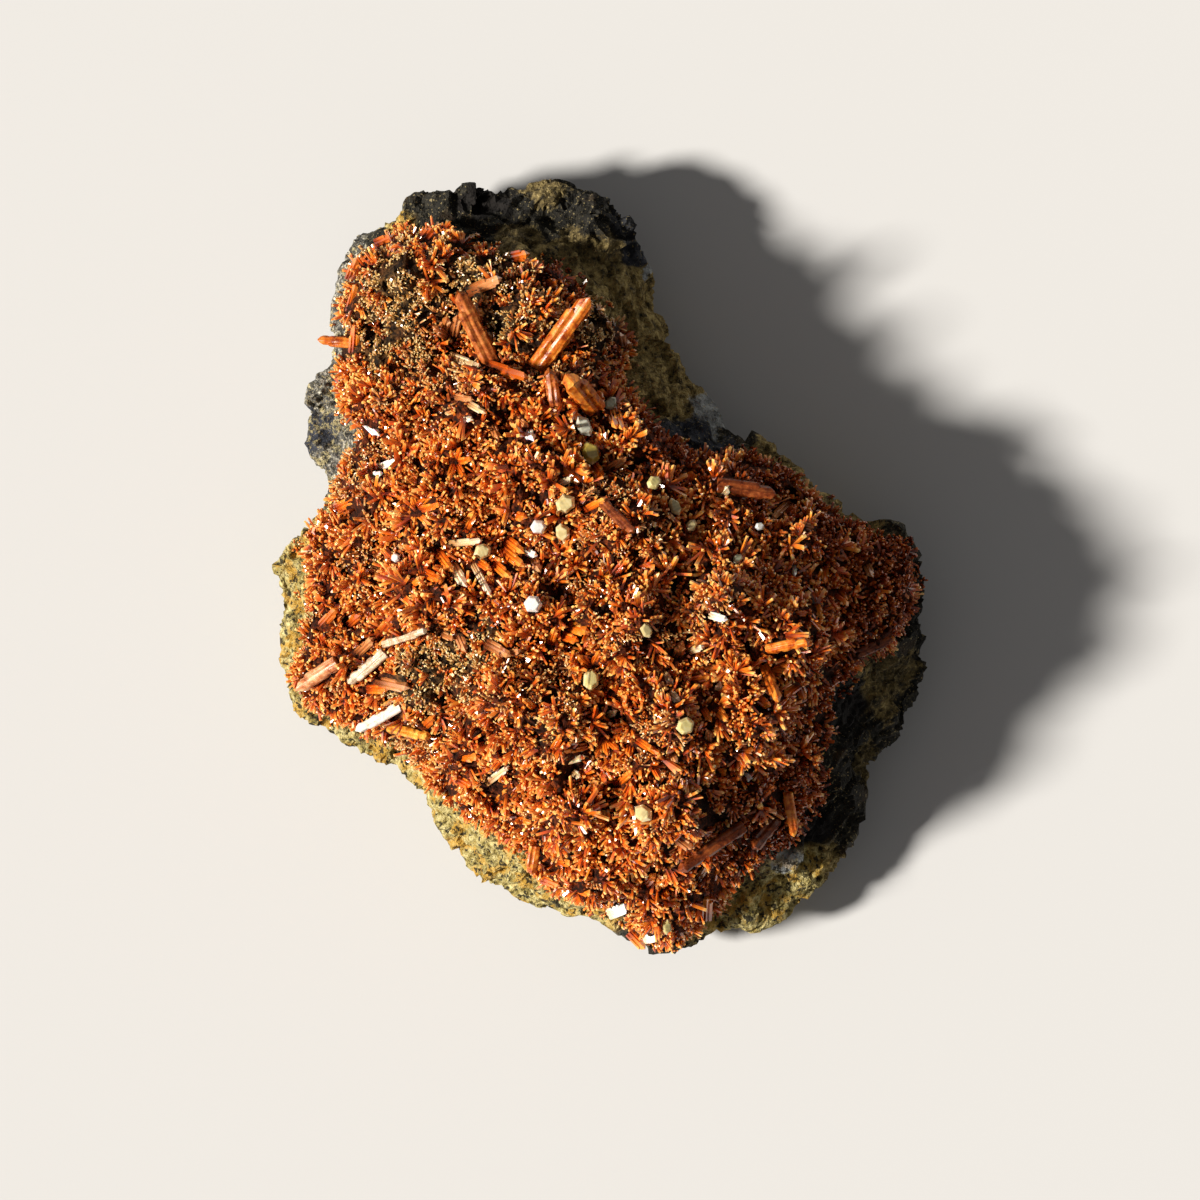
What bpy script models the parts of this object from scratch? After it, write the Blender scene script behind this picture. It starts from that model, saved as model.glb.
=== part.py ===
"""Crocoite on its matrix: a loose hand specimen, lying on its sawn back with the crystals up.

The host rock is one piece. A crust of small crocoite crystals, grown together, covers most of
its upper face. Larger crocoite prisms and pale cerussite tablets stand in sockets in the crust.
X runs across the specimen, Y along it and Z up. The origin is in the middle of its footprint,
on the surface that it lies on. Lists and sizes are in millimetres, and the model is in metres.
"""

import math
import random

import bmesh
import bpy
from mathutils import Quaternion, Vector, noise
from mathutils.bvhtree import BVHTree
from mathutils.geometry import delaunay_2d_cdt

MM = 0.001
GAP = 0.3  # between pieces that touch
NOISE_SEED = 5

# The rock's rim as seen from above, with the rim's height, clockwise from the top left corner.
ROCK_RIM = [
    (-21.3, 43.6, 13), (-17.7, 43.2, 14), (-14.7, 43.9, 14), (-10.6, 43.3, 12), (-4.6, 44.5, 13),
    (-0.7, 43.4, 13), (2.5, 40.9, 12), (4.7, 38.0, 12), (5.4, 34.4, 11), (6.7, 29.9, 11),
    (8.5, 24.8, 10), (11.2, 20.7, 10), (15.0, 16.0, 11), (21.5, 13.2, 13), (23.6, 10.0, 14),
    (27.5, 7.0, 14), (30.7, 4.7, 13), (34.8, 4.7, 12), (36.7, 1.4, 11), (37.0, -3.7, 10),
    (37.5, -10.2, 8), (37.0, -15.2, 7), (35.2, -18.7, 7), (30.9, -22.7, 7), (30.3, -29.8, 7),
    (28.0, -33.4, 7), (24.8, -37.3, 7), (21.5, -40.3, 7), (18.3, -41.9, 7), (13.2, -42.0, 7),
    (10.0, -44.2, 9), (5.2, -44.5, 10), (0.7, -40.8, 10), (-8.2, -38.6, 9), (-14.1, -36.1, 8),
    (-17.1, -32.0, 8), (-20.0, -26.2, 9), (-23.0, -23.2, 9), (-26.0, -22.1, 9), (-30.7, -19.1, 9),
    (-34.6, -17.2, 9), (-36.7, -11.4, 9), (-36.8, -6.0, 9), (-37.6, -0.1, 10), (-35.8, 3.5, 10),
    (-32.0, 6.1, 11), (-31.3, 9.4, 11), (-33.8, 14.7, 10), (-33.5, 20.7, 10), (-31.3, 23.4, 11),
    (-30.7, 26.7, 11), (-30.5, 30.2, 12), (-29.9, 35.0, 12), (-28.6, 38.0, 12), (-23.0, 39.6, 13),
    (-22.3, 41.5, 13),
]  # fmt: skip

# Where the crust of crystals ends on the rock, clockwise from its top left corner.
CRUST_EDGE = [
    (-27.8, 36.0), (-22.5, 38.2), (-19.5, 39.0), (-16.5, 37.5), (-11.0, 35.5), (-5.0, 33.5),
    (-1.0, 31.0), (3.0, 26.5), (2.0, 22.0), (6.5, 14.5), (11.0, 12.5), (17.0, 12.6), (21.0, 11.0),
    (24.5, 7.2), (30.0, 3.6), (34.2, 3.4), (35.6, 0.5), (35.6, -4.0), (33.6, -8.0), (28.0, -12.0),
    (26.2, -17.3), (25.0, -22.0), (24.5, -27.0), (22.0, -31.0), (19.0, -32.8), (15.0, -35.5),
    (13.0, -39.3), (9.3, -42.7), (5.5, -43.1), (1.3, -39.3), (-5.0, -37.0), (-8.0, -33.5),
    (-11.7, -30.3), (-16.3, -27.6), (-19.6, -23.6), (-23.0, -20.5), (-28.4, -17.8),
    (-33.3, -15.8), (-35.0, -12.8), (-33.7, -7.8), (-33.0, -2.0), (-33.4, 3.0), (-30.2, 7.4),
    (-29.8, 10.8), (-27.3, 15.5), (-29.6, 19.5), (-29.3, 25.0), (-28.7, 31.5),
]  # fmt: skip

# Heights of the rock's upper face: (x, y, z).
ROCK_HEIGHTS = [
    (-23, 32.5, 22), (-18.5, 35.5, 22), (-16.5, 26.5, 19), (-9, 27.5, 24), (-1.5, 27.5, 22),
    (-11.5, 32, 22), (-27.5, 27.5, 18), (-11.5, 40, 16), (-1, 38.5, 16), (2.5, 32, 15),
    (5.5, 23, 13), (9.5, 17.5, 13), (-23, 17, 22), (-14, 19, 27), (-3.5, 19, 27), (3.5, 13.5, 26),
    (-17, 7.5, 29), (-7, 10, 31), (2.5, 5.5, 33), (14, 7.5, 27), (22, 3, 24), (33, -1.5, 18),
    (-29, 1, 19), (-30, -8.5, 17), (-29, -15, 14), (-18.5, -4, 29), (-20.5, -13, 25),
    (-9, -6, 33), (2.5, -6, 35), (14, -4, 34), (22, -8.5, 30), (29, -9.5, 17), (33, -14, 10),
    (-4.5, -17.5, 34), (7, -17.5, 35), (17, -17.5, 32), (24.5, -20, 17), (27.5, -26, 11),
    (-14, -22, 25), (-17, -27, 16), (-3.5, -28, 30), (8, -28, 32), (17, -27, 25), (0, -35, 22),
    (7, -38.5, 18), (22, -33, 12), (16, -38.5, 11), (-9, -32.5, 17), (-10, -14, 34), (-26, 8, 22),
]  # fmt: skip
HEIGHT_FALLOFF = 3.0  # how sharply a height gives way to its neighbours'

# Pits in the upper face: (x, y, radius, depth).
PITS = [
    (-17.0, 25.0, 3.5, 3.0), (21.3, 7.5, 2.2, 2.6), (-13.3, 42.2, 2.2, 3.6), (2.0, 26.0, 3.0, 2.2),
    (-2.0, 15.5, 3.0, 1.4), (-8.8, -9.0, 3.0, 1.8), (-24.0, -7.0, 2.8, 1.6), (19.5, -24.0, 3.2, 2.5),
    (18.0, -29.5, 3.0, 2.5), (9.5, -1.0, 3.0, 1.4), (-5.5, 2.0, 2.6, 1.4), (4.0, -13.0, 2.6, 1.4),
    (-34.8, -3.5, 1.6, 1.6), (-3.5, 41.5, 2.0, 1.6), (30.0, -17.0, 2.4, 1.6), (-31.5, 18.0, 1.8, 1.4),
]  # fmt: skip

ROCK_CENTRE = (-5.0, -5.0)  # every point of the rim can be seen from here
RIM_STEP = 2.6
RIM_JAG = 0.5
BARE_GRID = 2.35  # spacing of the points on the rock where it is bare, and under the crust
CRUST_GRID = 3.4
GRID_JITTER = 0.7
ROCK_LUMP = 0.7  # how far the lumps stand out, and the size of a lump
ROCK_LUMP_SIZE = 6.0
LEDGE_HEIGHT = 2.8  # bare rock breaks in ledges, which dip to the left
LEDGE_DIP = (0.10, 0.22)
LEDGE_SHARPNESS = 0.9
# The side wall below the rim: (share of the rim's height, how far in towards the centre).
WALL_LEVELS = [(0.68, 0.015), (0.34, 0.07), (0.0, 0.17)]
WALL_ROUGHNESS = 0.9

CRUST_THICKNESS = 2.0
CRUST_EDGE_THICKNESS = 0.8
CRUST_LUMP = 0.9
CRUST_LUMP_SIZE = 3.6

# Smaller crystals fused to the crust: (x, y of the foot, x, y of the tip, width), as seen from above.
CRYSTALS = [
    (18.7, -11.1, 21.4, -11.7, 0.7), (22, -12.9, 20.8, -14.8, 0.8),
    (22.2, -13.2, 23.4, -15.2, 0.8), (17.3, -15.5, 19.5, -16, 0.8), (23.8, -4.5, 25.3, -6, 0.7),
    (22.4, -1.4, 24.6, -2, 0.6), (21.5, -6.1, 23.8, -5.2, 0.6), (8.9, 0.2, 9.5, 1.7, 0.7),
    (10.6, 9, 10.6, 11, 1), (25, 0.2, 25.7, -1.9, 0.7), (12.8, -16, 14.4, -17.5, 0.6),
    (11.6, -16, 12.6, -17.6, 0.6), (10, -13.7, 12.7, -12.5, 0.7), (17, -5.6, 18.4, -6.2, 0.7),
    (-22.5, -2.6, -23, -1.2, 0.8), (-21.7, -2.4, -20, -1.2, 0.7), (-22, -2.9, -21, -4.5, 0.7),
    (-19.7, -1, -18, -1.6, 0.8), (-15.9, 4.7, -14.3, 6.2, 0.9), (-10.3, 2.9, -8.7, 1.6, 0.9),
    (-18.1, 2.1, -16.7, -0.6, 0.8), (-3.2, -6.7, -1.3, -7.4, 1), (-4.5, -7.5, -2.4, -8.4, 0.8),
    (-5, -20.1, -4.4, -19, 0.6), (-15.9, -21.2, -13.8, -21.7, 0.9), (-2.1, -19.7, -4.4, -21, 0.7),
    (0, -19, -0.5, -21.8, 0.6), (0.1, -19, 0.9, -21.6, 0.6), (0.2, -18.9, 2.1, -20.8, 0.6),
    (8.9, -20.5, 10.9, -19.7, 0.7), (12.5, -23.3, 14.5, -23.1, 0.8), (7, -33, 8.6, -34.2, 0.7),
    (11.5, -39.9, 12.3, -37.6, 1), (12.5, -40.1, 13.5, -38.1, 0.9),
    (12.5, -36.2, 13.5, -34.7, 0.7), (-0.2, -39.4, 0.2, -40.9, 0.8), (1.3, -40.6, 3.1, -42, 0.8),
    (3.8, -41.3, 5.3, -44.1, 0.8), (3.4, -41.7, 4.4, -43.5, 0.7), (8.7, -42.4, 9.3, -43.8, 0.7),
    (-26.2, -13.5, -24.3, -14, 0.8), (-15.6, -23.5, -14.5, -25.1, 0.9),
    (-5.5, 11.5, -2.1, 9.2, 0.8), (-1.3, 10.9, 0.3, 10.1, 1), (-1.6, 6.7, 0.8, 7.8, 0.6),
    (-0.7, 18.2, -0.2, 20.2, 0.6), (0.3, 17.8, 1.8, 15.8, 0.8), (1, 18.1, 2.5, 15.6, 0.8),
    (-9.5, 6.6, -8.4, 5.6, 0.9), (-13.6, 0.3, -12.4, -0.3, 0.7), (-10.8, 1.3, -8.7, 0.1, 0.9),
    (-11.6, -0.1, -10.2, -1.2, 0.8), (-16.3, 11.6, -17, 13.2, 0.6),
    (-16.2, 11.6, -15.9, 13.5, 0.6), (-16.6, 11.4, -18.1, 12.1, 0.6),
    (-16.4, 11.2, -17.2, 9.8, 0.6), (-16.2, 11.2, -15.2, 9.8, 0.6),
    (-16.1, 11.5, -14.6, 12.3, 0.6), (-20.1, 6.8, -21.5, 8.1, 0.6), (-20, 6.6, -22, 6.2, 0.6),
    (-19.9, 7, -18.9, 8.6, 0.6), (-19.8, 6.6, -18.1, 7.1, 0.6), (-20, 6.3, -19.1, 4.7, 0.6),
    (-20.1, 6.6, -21.2, 4.9, 0.6), (-29.4, 6.7, -27.9, 7.9, 0.7), (-31.1, 6.6, -29.8, 5.8, 0.7),
    (-27.7, 25.1, -28.1, 27.6, 0.9), (4.7, 8.3, 5.8, 7.6, 0.7), (5, -19.4, 6, -20.8, 0.7),
    (4.1, -20.1, 3.3, -21.6, 0.7), (5.5, -19.7, 6.9, -21.3, 0.6), (2.3, -24.5, 3.7, -23.1, 0.7),
    (4.6, -26.5, 5.5, -28.2, 0.7), (-4.6, -32.8, -3.2, -33.9, 0.7), (-6, -35.1, -4.6, -36.5, 0.8),
    (-2.3, -36, -0.9, -37.5, 0.8), (4.9, -36, 6.3, -35.1, 0.8), (6.9, -36.6, 7.8, -38.2, 0.8),
    (-9.2, -28.2, -7.6, -29.3, 0.6), (-11.8, -26.8, -10.6, -25.4, 0.6),
    (-1.2, -26.8, 0.2, -25.6, 0.6), (-7.4, -15.9, -8.7, -15, 0.6),
    (-12.7, -15.3, -11.2, -16.1, 0.6), (-10.9, -4.9, -12.3, -3.8, 0.7), (-6, -8.4, -5.1, -7, 0.7),
    (-27.3, 36.6, -25.3, 37.8, 0.9), (-25.1, 36.5, -23.6, 38, 0.9), (-19.7, 36.8, -19.1, 38.9, 1),
    (-28, 33.1, -27.8, 35.5, 0.8), (-28.1, 29.5, -27.9, 32.7, 0.7),
    (-25.1, -8.1, -23.3, -5.2, 0.9), (-31.6, -7.1, -30.1, -4.7, 0.8),
    (-28.7, -7, -27.4, -5.4, 0.7), (-20.9, -18.9, -18.7, -16.9, 0.8),
    (-34.4, -14.1, -33.4, -16.8, 1), (13.1, -16, 14.6, -17.5, 0.7),
    (25.8, -10.3, 26.9, -10.1, 0.9), (-6.5, 31.7, -4.8, 32.8, 0.9), (-6.8, 34.6, -5.5, 32.7, 0.9),
    (-10.1, 34.8, -8.1, 35.8, 1), (-13.3, 22.5, -8.1, 21.4, 1), (-18.5, -3.8, -19.1, -5.3, 0.8),
    (-1.2, -11.5, -2.5, -10.1, 0.8), (-0.9, -11.2, 0, -9.5, 0.6), (-29.3, -9.1, -30.7, -10.1, 0.8),
    (-20.7, -26.8, -19.4, -28.2, 0.9), (-18.2, -25.6, -17.2, -27.1, 0.8),
    (26.7, -2.9, 28.3, -3.8, 0.7), (16, -19.9, 17.6, -20.8, 0.7), (19.6, -20.8, 21.2, -21.6, 0.7),
    (-12.2, -8.6, -10.2, -10.1, 0.9), (-15.9, -7.1, -15.2, -9.8, 0.8),
    (-18, -6.8, -16.6, -8.3, 0.6), (-27.7, -9.8, -25.9, -8.1, 0.8), (-14.5, 31.6, -11.3, 32.9, 1),
    (-18.4, 27.3, -17.4, 28.6, 0.9), (-17, 27, -16.3, 28.8, 0.9), (-17.7, 26.6, -19.1, 27.5, 0.8),
    (1.5, 25.6, 2.3, 26.8, 0.9), (2, 25.3, 3.2, 26, 0.9), (0, 27, 0.8, 28.2, 0.7),
    (-10.3, -10.1, -9, -9.5, 0.6), (-24.6, -12.8, -21.6, -13.8, 1), (8.7, -30, 10.6, -32.2, 0.9),
    (17, -31.7, 18.4, -30.7, 0.9), (8.4, -10.1, 9.3, -8.6, 0.9), (0, 30.7, 1.4, 29.8, 0.7),
    (0.6, 10.1, 3.1, 12.5, 0.7), (-9.7, 16.9, -8.1, 15.9, 0.6), (-16.3, 19.2, -14.4, 19, 0.6),
    (-12.7, 16.6, -11.6, 14.6, 0.7), (10.7, -35.1, 12.2, -34.2, 0.6), (-8.1, 1, -6.8, -0.6, 0.8),
    (8.1, -20.5, 8.7, -22.2, 0.7), (22.9, 3.8, 24.5, 4.4, 0.7), (8.6, 3, 11.3, 3.2, 0.8),
    (21.4, 6.6, 19.6, 5.4, 0.7), (29.9, 0.2, 31.3, -1.3, 0.7), (11.5, -19.7, 12.2, -18.6, 0.6),
    (-16.8, 23.3, -13.6, 22.7, 0.8), (-17.2, 3.2, -13.2, 3, 0.6), (-16.7, -0.6, -15.1, -2.4, 0.9),
    (-14.3, 0.1, -12.3, -3.5, 0.6), (9.9, -9.4, 11.7, -9.1, 0.6), (-5, 9.4, -3.2, 10.1, 0.6),
    (13.2, -15, 13.7, -13.1, 0.6), (13.6, 7.5, 14.7, 9.2, 0.8), (-12.7, -24, -10.3, -22.7, 0.6),
    (-3.7, -23, -2.2, -24, 0.6), (-4, -21.4, -1.6, -21.5, 0.6), (6.8, -12.7, 8.3, -13.3, 0.7),
    (7.6, -15, 9.1, -15.4, 0.7), (-14.5, 18.3, -13.1, 17.5, 0.6), (-15.5, 17.4, -14.4, 16.7, 0.6),
    (25.6, -26.2, 27.4, -26.7, 0.7), (27.7, -26.5, 29.4, -26.9, 0.7),
    (0.7, -16.9, 1.8, -16.4, 0.6), (-34.8, -13.3, -34.4, -15.2, 0.7), (-26.2, 17, -25.2, 15, 0.8),
    (-26, 9.7, -24.8, 10.7, 0.6), (-24.8, 10.7, -23.2, 12.2, 0.6), (15.6, -23.6, 17.4, -24.2, 0.7),
    (21.3, 0, 22.2, -1, 0.7), (-8.7, 1.3, -7.1, 1.2, 0.7), (9.9, -37.7, 10, -38.9, 0.7),
    (-15.2, -28.6, -13.8, -30, 0.7), (1, -38.9, 3.3, -38.9, 1), (5.3, -41.9, 6.7, -42.4, 0.9),
    (-8.1, 15.4, -7.6, 14.5, 0.9), (13, -5.4, 14.3, -6, 0.7),
]  # fmt: skip
CRYSTAL_ROOT = 1.1  # height of a foot above the rock
CRYSTAL_RISE = 3.0  # least height of a tip above the rock
CRYSTAL_STEEPEST = 2.0  # rise over run
CRYSTAL_MARGIN = 0.4  # from the crust's edge
CRYSTAL_SEED = 11

# Larger crocoite prisms: (x, y of the middle, length in plan, width, heading, least rise), with
# angles in degrees. Heading turns from +X towards +Y, from the foot to the tip.
PRISMS = {
    "crocoite_prism_tall_left": (-14.4, 27.8, 8.0, 2.2, 116, 12),
    "crocoite_prism_tall_right": (-3.7, 27.1, 8.8, 2.5, 54, 12),
    "crocoite_prism_left_rim": (-30.4, 26.0, 3.8, 1.3, 176, -12),
    "crocoite_prism_stub": (-5.6, 20.7, 3.4, 1.6, 97, 10),
    "crocoite_prism_pink": (-2.4, 19.9, 3.5, 2.6, 130, 5),
    "crocoite_prism_low_left": (-32.6, -12.7, 4.6, 1.8, 212, -25),
    "crocoite_prism_bright": (-25.6, -17.4, 5.0, 1.3, 210, -15),
    "crocoite_prism_amber": (-21.6, -18.9, 4.2, 1.3, -14, -8),
    "crocoite_prism_long_blade": (-27.0, -11.7, 5.0, 1.4, 221, -20),
    "crocoite_prism_thin_blade": (-22.2, -8.0, 5.0, 0.9, 17, -5),
    "crocoite_prism_shaded_block": (17.0, 8.6, 5.6, 2.0, -7, -10),
    "crocoite_prism_dark_red": (2.3, 5.4, 4.4, 1.3, -45, 8),
    "crocoite_prism_brown_long": (12.5, -32.4, 8.0, 1.6, 213, -15),
    "crocoite_prism_hanging": (21.8, -28.6, 4.4, 1.3, -80, -25),
    "crocoite_prism_chunky": (18.6, -30.9, 3.4, 1.9, 230, -15),
    "crocoite_prism_right_blade": (31.6, -9.2, 4.4, 1.2, 24, -20),
    "crocoite_prism_red_stub": (-7.6, -33.9, 2.8, 1.5, 260, -20),
    "crocoite_prism_fan_upper": (21.6, -9.0, 4.2, 1.3, 12, 0),
    "crocoite_prism_fan_lower": (19.6, -13.4, 3.8, 1.3, -70, 12),
}
PRISM_SINK = 0.25  # how far a prism's foot lies below the crust's surface, in widths
PRISM_CLEARANCE = 0.3  # how far its axis stands off the crust at the middle, in widths
PRISM_FLATNESS = 0.78

# Cerussite tablets: (x, y, length, width, heading of the long side in degrees).
TABLETS = {
    "cerussite_upper_grey": (1.1, 18.5, 2.1, 1.4, 50),
    "cerussite_upper_white": (-1.9, 16.0, 2.8, 1.8, 117),
    "cerussite_upper_yellow": (-1.2, 12.7, 2.9, 2.2, 100),
    "cerussite_cluster_top": (-3.9, 7.2, 2.5, 2.2, 45),
    "cerussite_cluster_white": (-7.0, 4.6, 1.9, 1.8, 0),
    "cerussite_cluster_low": (-4.2, 4.0, 2.2, 1.8, 95),
    "cerussite_left_round": (-13.4, 1.7, 2.2, 1.8, 20),
    "cerussite_mid_white": (-7.5, -4.3, 2.2, 2.1, 0),
    "cerussite_ribbed": (-1.1, -13.0, 2.7, 1.9, 88),
    "cerussite_right_high": (6.0, 9.4, 1.9, 1.6, 50),
    "cerussite_right_pair": (8.4, 6.7, 2.3, 1.4, 110),
    "cerussite_right_small": (10.4, 4.7, 1.6, 1.3, 60),
    "cerussite_mid_right": (5.1, -7.2, 2.0, 1.4, 120),
    "cerussite_pyramid": (9.5, -18.0, 2.3, 2.1, 15),
    "cerussite_low_right": (5.1, -28.0, 2.5, 2.0, 150),
    "cerussite_toe": (7.6, -41.2, 2.0, 1.1, 95),
    "cerussite_left_small": (-23.2, 1.0, 1.2, 1.1, 30),
    "cerussite_right_green": (15.6, 0.8, 1.4, 1.1, 45),
    "cerussite_right_far": (18.1, 4.5, 1.2, 1.0, 20),
}
TABLET_THICKNESS = 0.7  # of its width
TABLET_BEVEL = 0.68  # width of its top over its middle
TABLET_LIFT = 0.28  # how far its middle stands off the crust, in widths

CROCOITE_ORANGE = (0.72, 0.17, 0.02)
CROCOITE_RED = (0.60, 0.11, 0.015)
CERUSSITE_CREAM = (0.80, 0.74, 0.50)
ROCK_OLIVE = (0.23, 0.21, 0.14)


def clear_scene():
    for obj in list(bpy.data.objects):
        bpy.data.objects.remove(obj)


def finish(name, colour, roughness):
    """A plain material in the mineral's own colour."""
    material = bpy.data.materials.new(name)
    material.use_nodes = True
    shader = material.node_tree.nodes["Principled BSDF"]
    shader.inputs["Base Color"].default_value = (*colour, 1)
    shader.inputs["Roughness"].default_value = roughness
    shader.inputs["Metallic"].default_value = 0
    return material


def add_object(name, bm, material=None):
    """Makes bm, in millimetres, an object in metres. One with no material is a helper."""
    bmesh.ops.recalc_face_normals(bm, faces=bm.faces)
    bmesh.ops.scale(bm, vec=(MM, MM, MM), verts=bm.verts)
    mesh = bpy.data.meshes.new(name)
    bm.to_mesh(mesh)
    bm.free()
    obj = bpy.data.objects.new(name, mesh)
    bpy.context.collection.objects.link(obj)
    if material:
        mesh.materials.append(material)
    else:
        obj.hide_render = True
        obj.display_type = "WIRE"
    return obj


def edges_of(ring):
    return zip(ring, ring[1:] + ring[:1])


def crosses(x, y, a, b):
    """Whether a line from (x, y) towards +X crosses the edge from a to b."""
    if (a[1] > y) == (b[1] > y):
        return False
    return x < a[0] + (y - a[1]) * (b[0] - a[0]) / (b[1] - a[1])


def inside(x, y, ring):
    return sum(crosses(x, y, a, b) for a, b in edges_of(ring)) % 2 == 1


def edge_distance(x, y, ring):
    """How far (x, y) is from the nearest edge of a closed ring."""
    nearest = math.inf
    for a, b in edges_of(ring):
        run = (b[0] - a[0], b[1] - a[1])
        along = ((x - a[0]) * run[0] + (y - a[1]) * run[1]) / (run[0] ** 2 + run[1] ** 2)
        along = min(1.0, max(0.0, along))
        nearest = min(nearest, math.hypot(x - a[0] - along * run[0], y - a[1] - along * run[1]))
    return nearest


def finer(ring, step, jag):
    """The ring with its edges split to about one step each, the new points moved by up to jag."""
    fine = []
    for a, b in edges_of(ring):
        count = max(1, round(math.dist(a[:2], b[:2]) / step))
        for i in range(count):
            point = [p + (q - p) * i / count for p, q in zip(a, b)]
            if i:
                shift = noise.noise_vector(Vector(point[:2]).to_3d() * 0.9)
                point[0] += jag * shift.x
                point[1] += jag * shift.y
            fine.append(tuple(point))
    return fine


def lumps(x, y, z, size, depth):
    """Rounded lumps with creases between them, from about -depth to depth."""
    place = Vector((x, y, z)) / size
    coarse = abs(noise.noise(place))
    fine = noise.noise(place * 2.3 + Vector((7, 3, 5)))
    return depth * (2.6 * coarse - 0.6 + 0.45 * fine)


def ledges(x, y, height):
    """The height on a rock face that breaks in flat ledges with steep steps between them."""
    level = (height + LEDGE_DIP[0] * x + LEDGE_DIP[1] * y) / LEDGE_HEIGHT
    part = level - math.floor(level)
    stepped = part**3 * (part * (part * 6 - 15) + 10)
    return height + LEDGE_SHARPNESS * LEDGE_HEIGHT * (stepped - part)


def rock_height(x, y, bare):
    """The rock's upper face: the listed heights and the rim's, each weighted by nearness."""
    total = weight_sum = 0.0
    for px, py, pz in ROCK_HEIGHTS + ROCK_RIM:
        weight = 1.0 / (math.hypot(x - px, y - py) + 0.8) ** HEIGHT_FALLOFF
        total += weight * pz
        weight_sum += weight
    height = total / weight_sum
    for px, py, radius, depth in PITS:
        height -= depth * math.exp(-((x - px) ** 2 + (y - py) ** 2) / radius**2)
    height += lumps(x, y, height, ROCK_LUMP_SIZE, ROCK_LUMP)
    return ledges(x, y, height) if bare else height


def grid_points(rim, crust, spacing, on_crust):
    """Points of a jittered triangular grid over one zone, clear of both outlines."""
    points = []
    row_step = spacing * math.sqrt(3) / 2
    rows = round(50 / row_step)
    for row in range(-rows, rows + 1):
        for column in range(-rows, rows + 1):
            x = (column + (row % 2) / 2) * spacing
            y = row * row_step
            shift = noise.noise_vector(Vector((x, y, 0)) * 0.37)
            x += GRID_JITTER * spacing * shift.x
            y += GRID_JITTER * spacing * shift.y
            clearance = spacing * 0.5
            if not inside(x, y, rim) or inside(x, y, crust) != on_crust:
                continue
            if min(edge_distance(x, y, rim), edge_distance(x, y, crust)) > clearance:
                points.append((x, y))
    return points


def upper_face(rim, crust):
    """Points and triangles over the rim's inside, with the crust's edge among their edges."""
    points = [p[:2] for p in rim] + [p[:2] for p in crust]
    edges = []
    start = 0
    for ring in (rim, crust):
        count = len(ring)
        edges += [(start + i, start + (i + 1) % count) for i in range(count)]
        start += count
    points += grid_points(rim, crust, BARE_GRID, False)
    points += grid_points(rim, crust, CRUST_GRID, True)
    made = delaunay_2d_cdt([Vector(p) for p in points], edges, [], 0, 1e-4)
    rim_heights = {(round(p[0], 3), round(p[1], 3)): p[2] for p in rim}
    places = []
    for place in made[0]:
        height = rim_heights.get((round(place.x, 3), round(place.y, 3)))
        if height is None:
            height = rock_height(*place, not inside(*place, crust))
        places.append((*place, height))
    faces = []
    for face in made[2]:
        x, y = (sum(places[i][k] for i in face) / 3 for k in (0, 1))
        if inside(x, y, rim):
            faces.append((face, inside(x, y, crust)))
    return places, faces


def border_loop(bm):
    """The vertices round the one open edge of a surface, in order."""
    vert = next(e for e in bm.edges if e.is_boundary).verts[0]
    loop = [vert]
    while True:
        ways = [e.other_vert(vert) for e in vert.link_edges if e.is_boundary]
        ahead = [v for v in ways if len(loop) < 2 or v != loop[-2]]
        if ahead[0] == loop[0]:
            return loop
        vert = ahead[0]
        loop.append(vert)


def surface(places, faces):
    """An open surface with its upper side up."""
    bm = bmesh.new()
    verts = [bm.verts.new(place) for place in places]
    for face in faces:
        bm.faces.new([verts[i] for i in face])
    bmesh.ops.delete(bm, geom=[v for v in bm.verts if not v.link_faces], context="VERTS")
    for face in bm.faces:
        face.normal_update()
        if face.normal.z < 0:
            face.normal_flip()
    return bm


def make_rock(places, faces, material):
    """The host rock: the lumpy upper face, a wall that leans in below the rim, a sawn back."""
    bm = surface(places, [face for face, _ in faces])
    rim = border_loop(bm)
    above = rim
    for share, inward in WALL_LEVELS:
        below = []
        for vert in rim:
            rough = noise.noise_vector(Vector((vert.co.x, vert.co.y, 40 * share)) * 0.16)
            place = vert.co.xy.lerp(Vector(ROCK_CENTRE), inward * (1 + 0.3 * rough.z))
            place += WALL_ROUGHNESS * rough.xy
            height = vert.co.z * share + (rough.y if share else 0.0)
            below.append(bm.verts.new((*place, height)))
        for i in range(len(rim)):
            j = (i + 1) % len(rim)
            bm.faces.new((above[i], above[j], below[j], below[i]))
        above = below
    bm.faces.new(above)
    return add_object("matrix", bm, material)


def make_crust(places, faces, material):
    """The crust of crystals grown together: it follows the rock and is thin at its edge."""
    bm = surface(places, faces)
    bm.normal_update()
    rim = border_loop(bm)
    rim_set = set(rim)
    steep = {v: 1 / max(0.5, v.normal.z) for v in bm.verts}
    for vert in bm.verts:
        vert.co.z += 1.3 * GAP * steep[vert]
    below = {v: v.co.copy() for v in bm.verts}
    for vert in bm.verts:
        thickness = CRUST_THICKNESS + lumps(*vert.co, CRUST_LUMP_SIZE, CRUST_LUMP)
        if vert in rim_set:
            thickness = CRUST_EDGE_THICKNESS
        vert.co.z += max(CRUST_EDGE_THICKNESS, thickness) * steep[vert]
    lower = {v: bm.verts.new(place) for v, place in below.items()}
    for face in [f for f in bm.faces]:
        bm.faces.new([lower[v] for v in reversed(face.verts)])
    for i in range(len(rim)):
        j = (i + 1) % len(rim)
        bm.faces.new((rim[i], rim[j], lower[rim[j]], lower[rim[i]]))
    return add_object("crocoite_druse", bm, material)


def tree_of(objects):
    """A tree for ray casts on several objects' surfaces, in millimetres."""
    verts = []
    faces = []
    for obj in objects:
        start = len(verts)
        verts += [v.co / MM for v in obj.data.vertices]
        faces += [[start + i for i in p.vertices] for p in obj.data.polygons]
    return BVHTree.FromPolygons(verts, faces)


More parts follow.
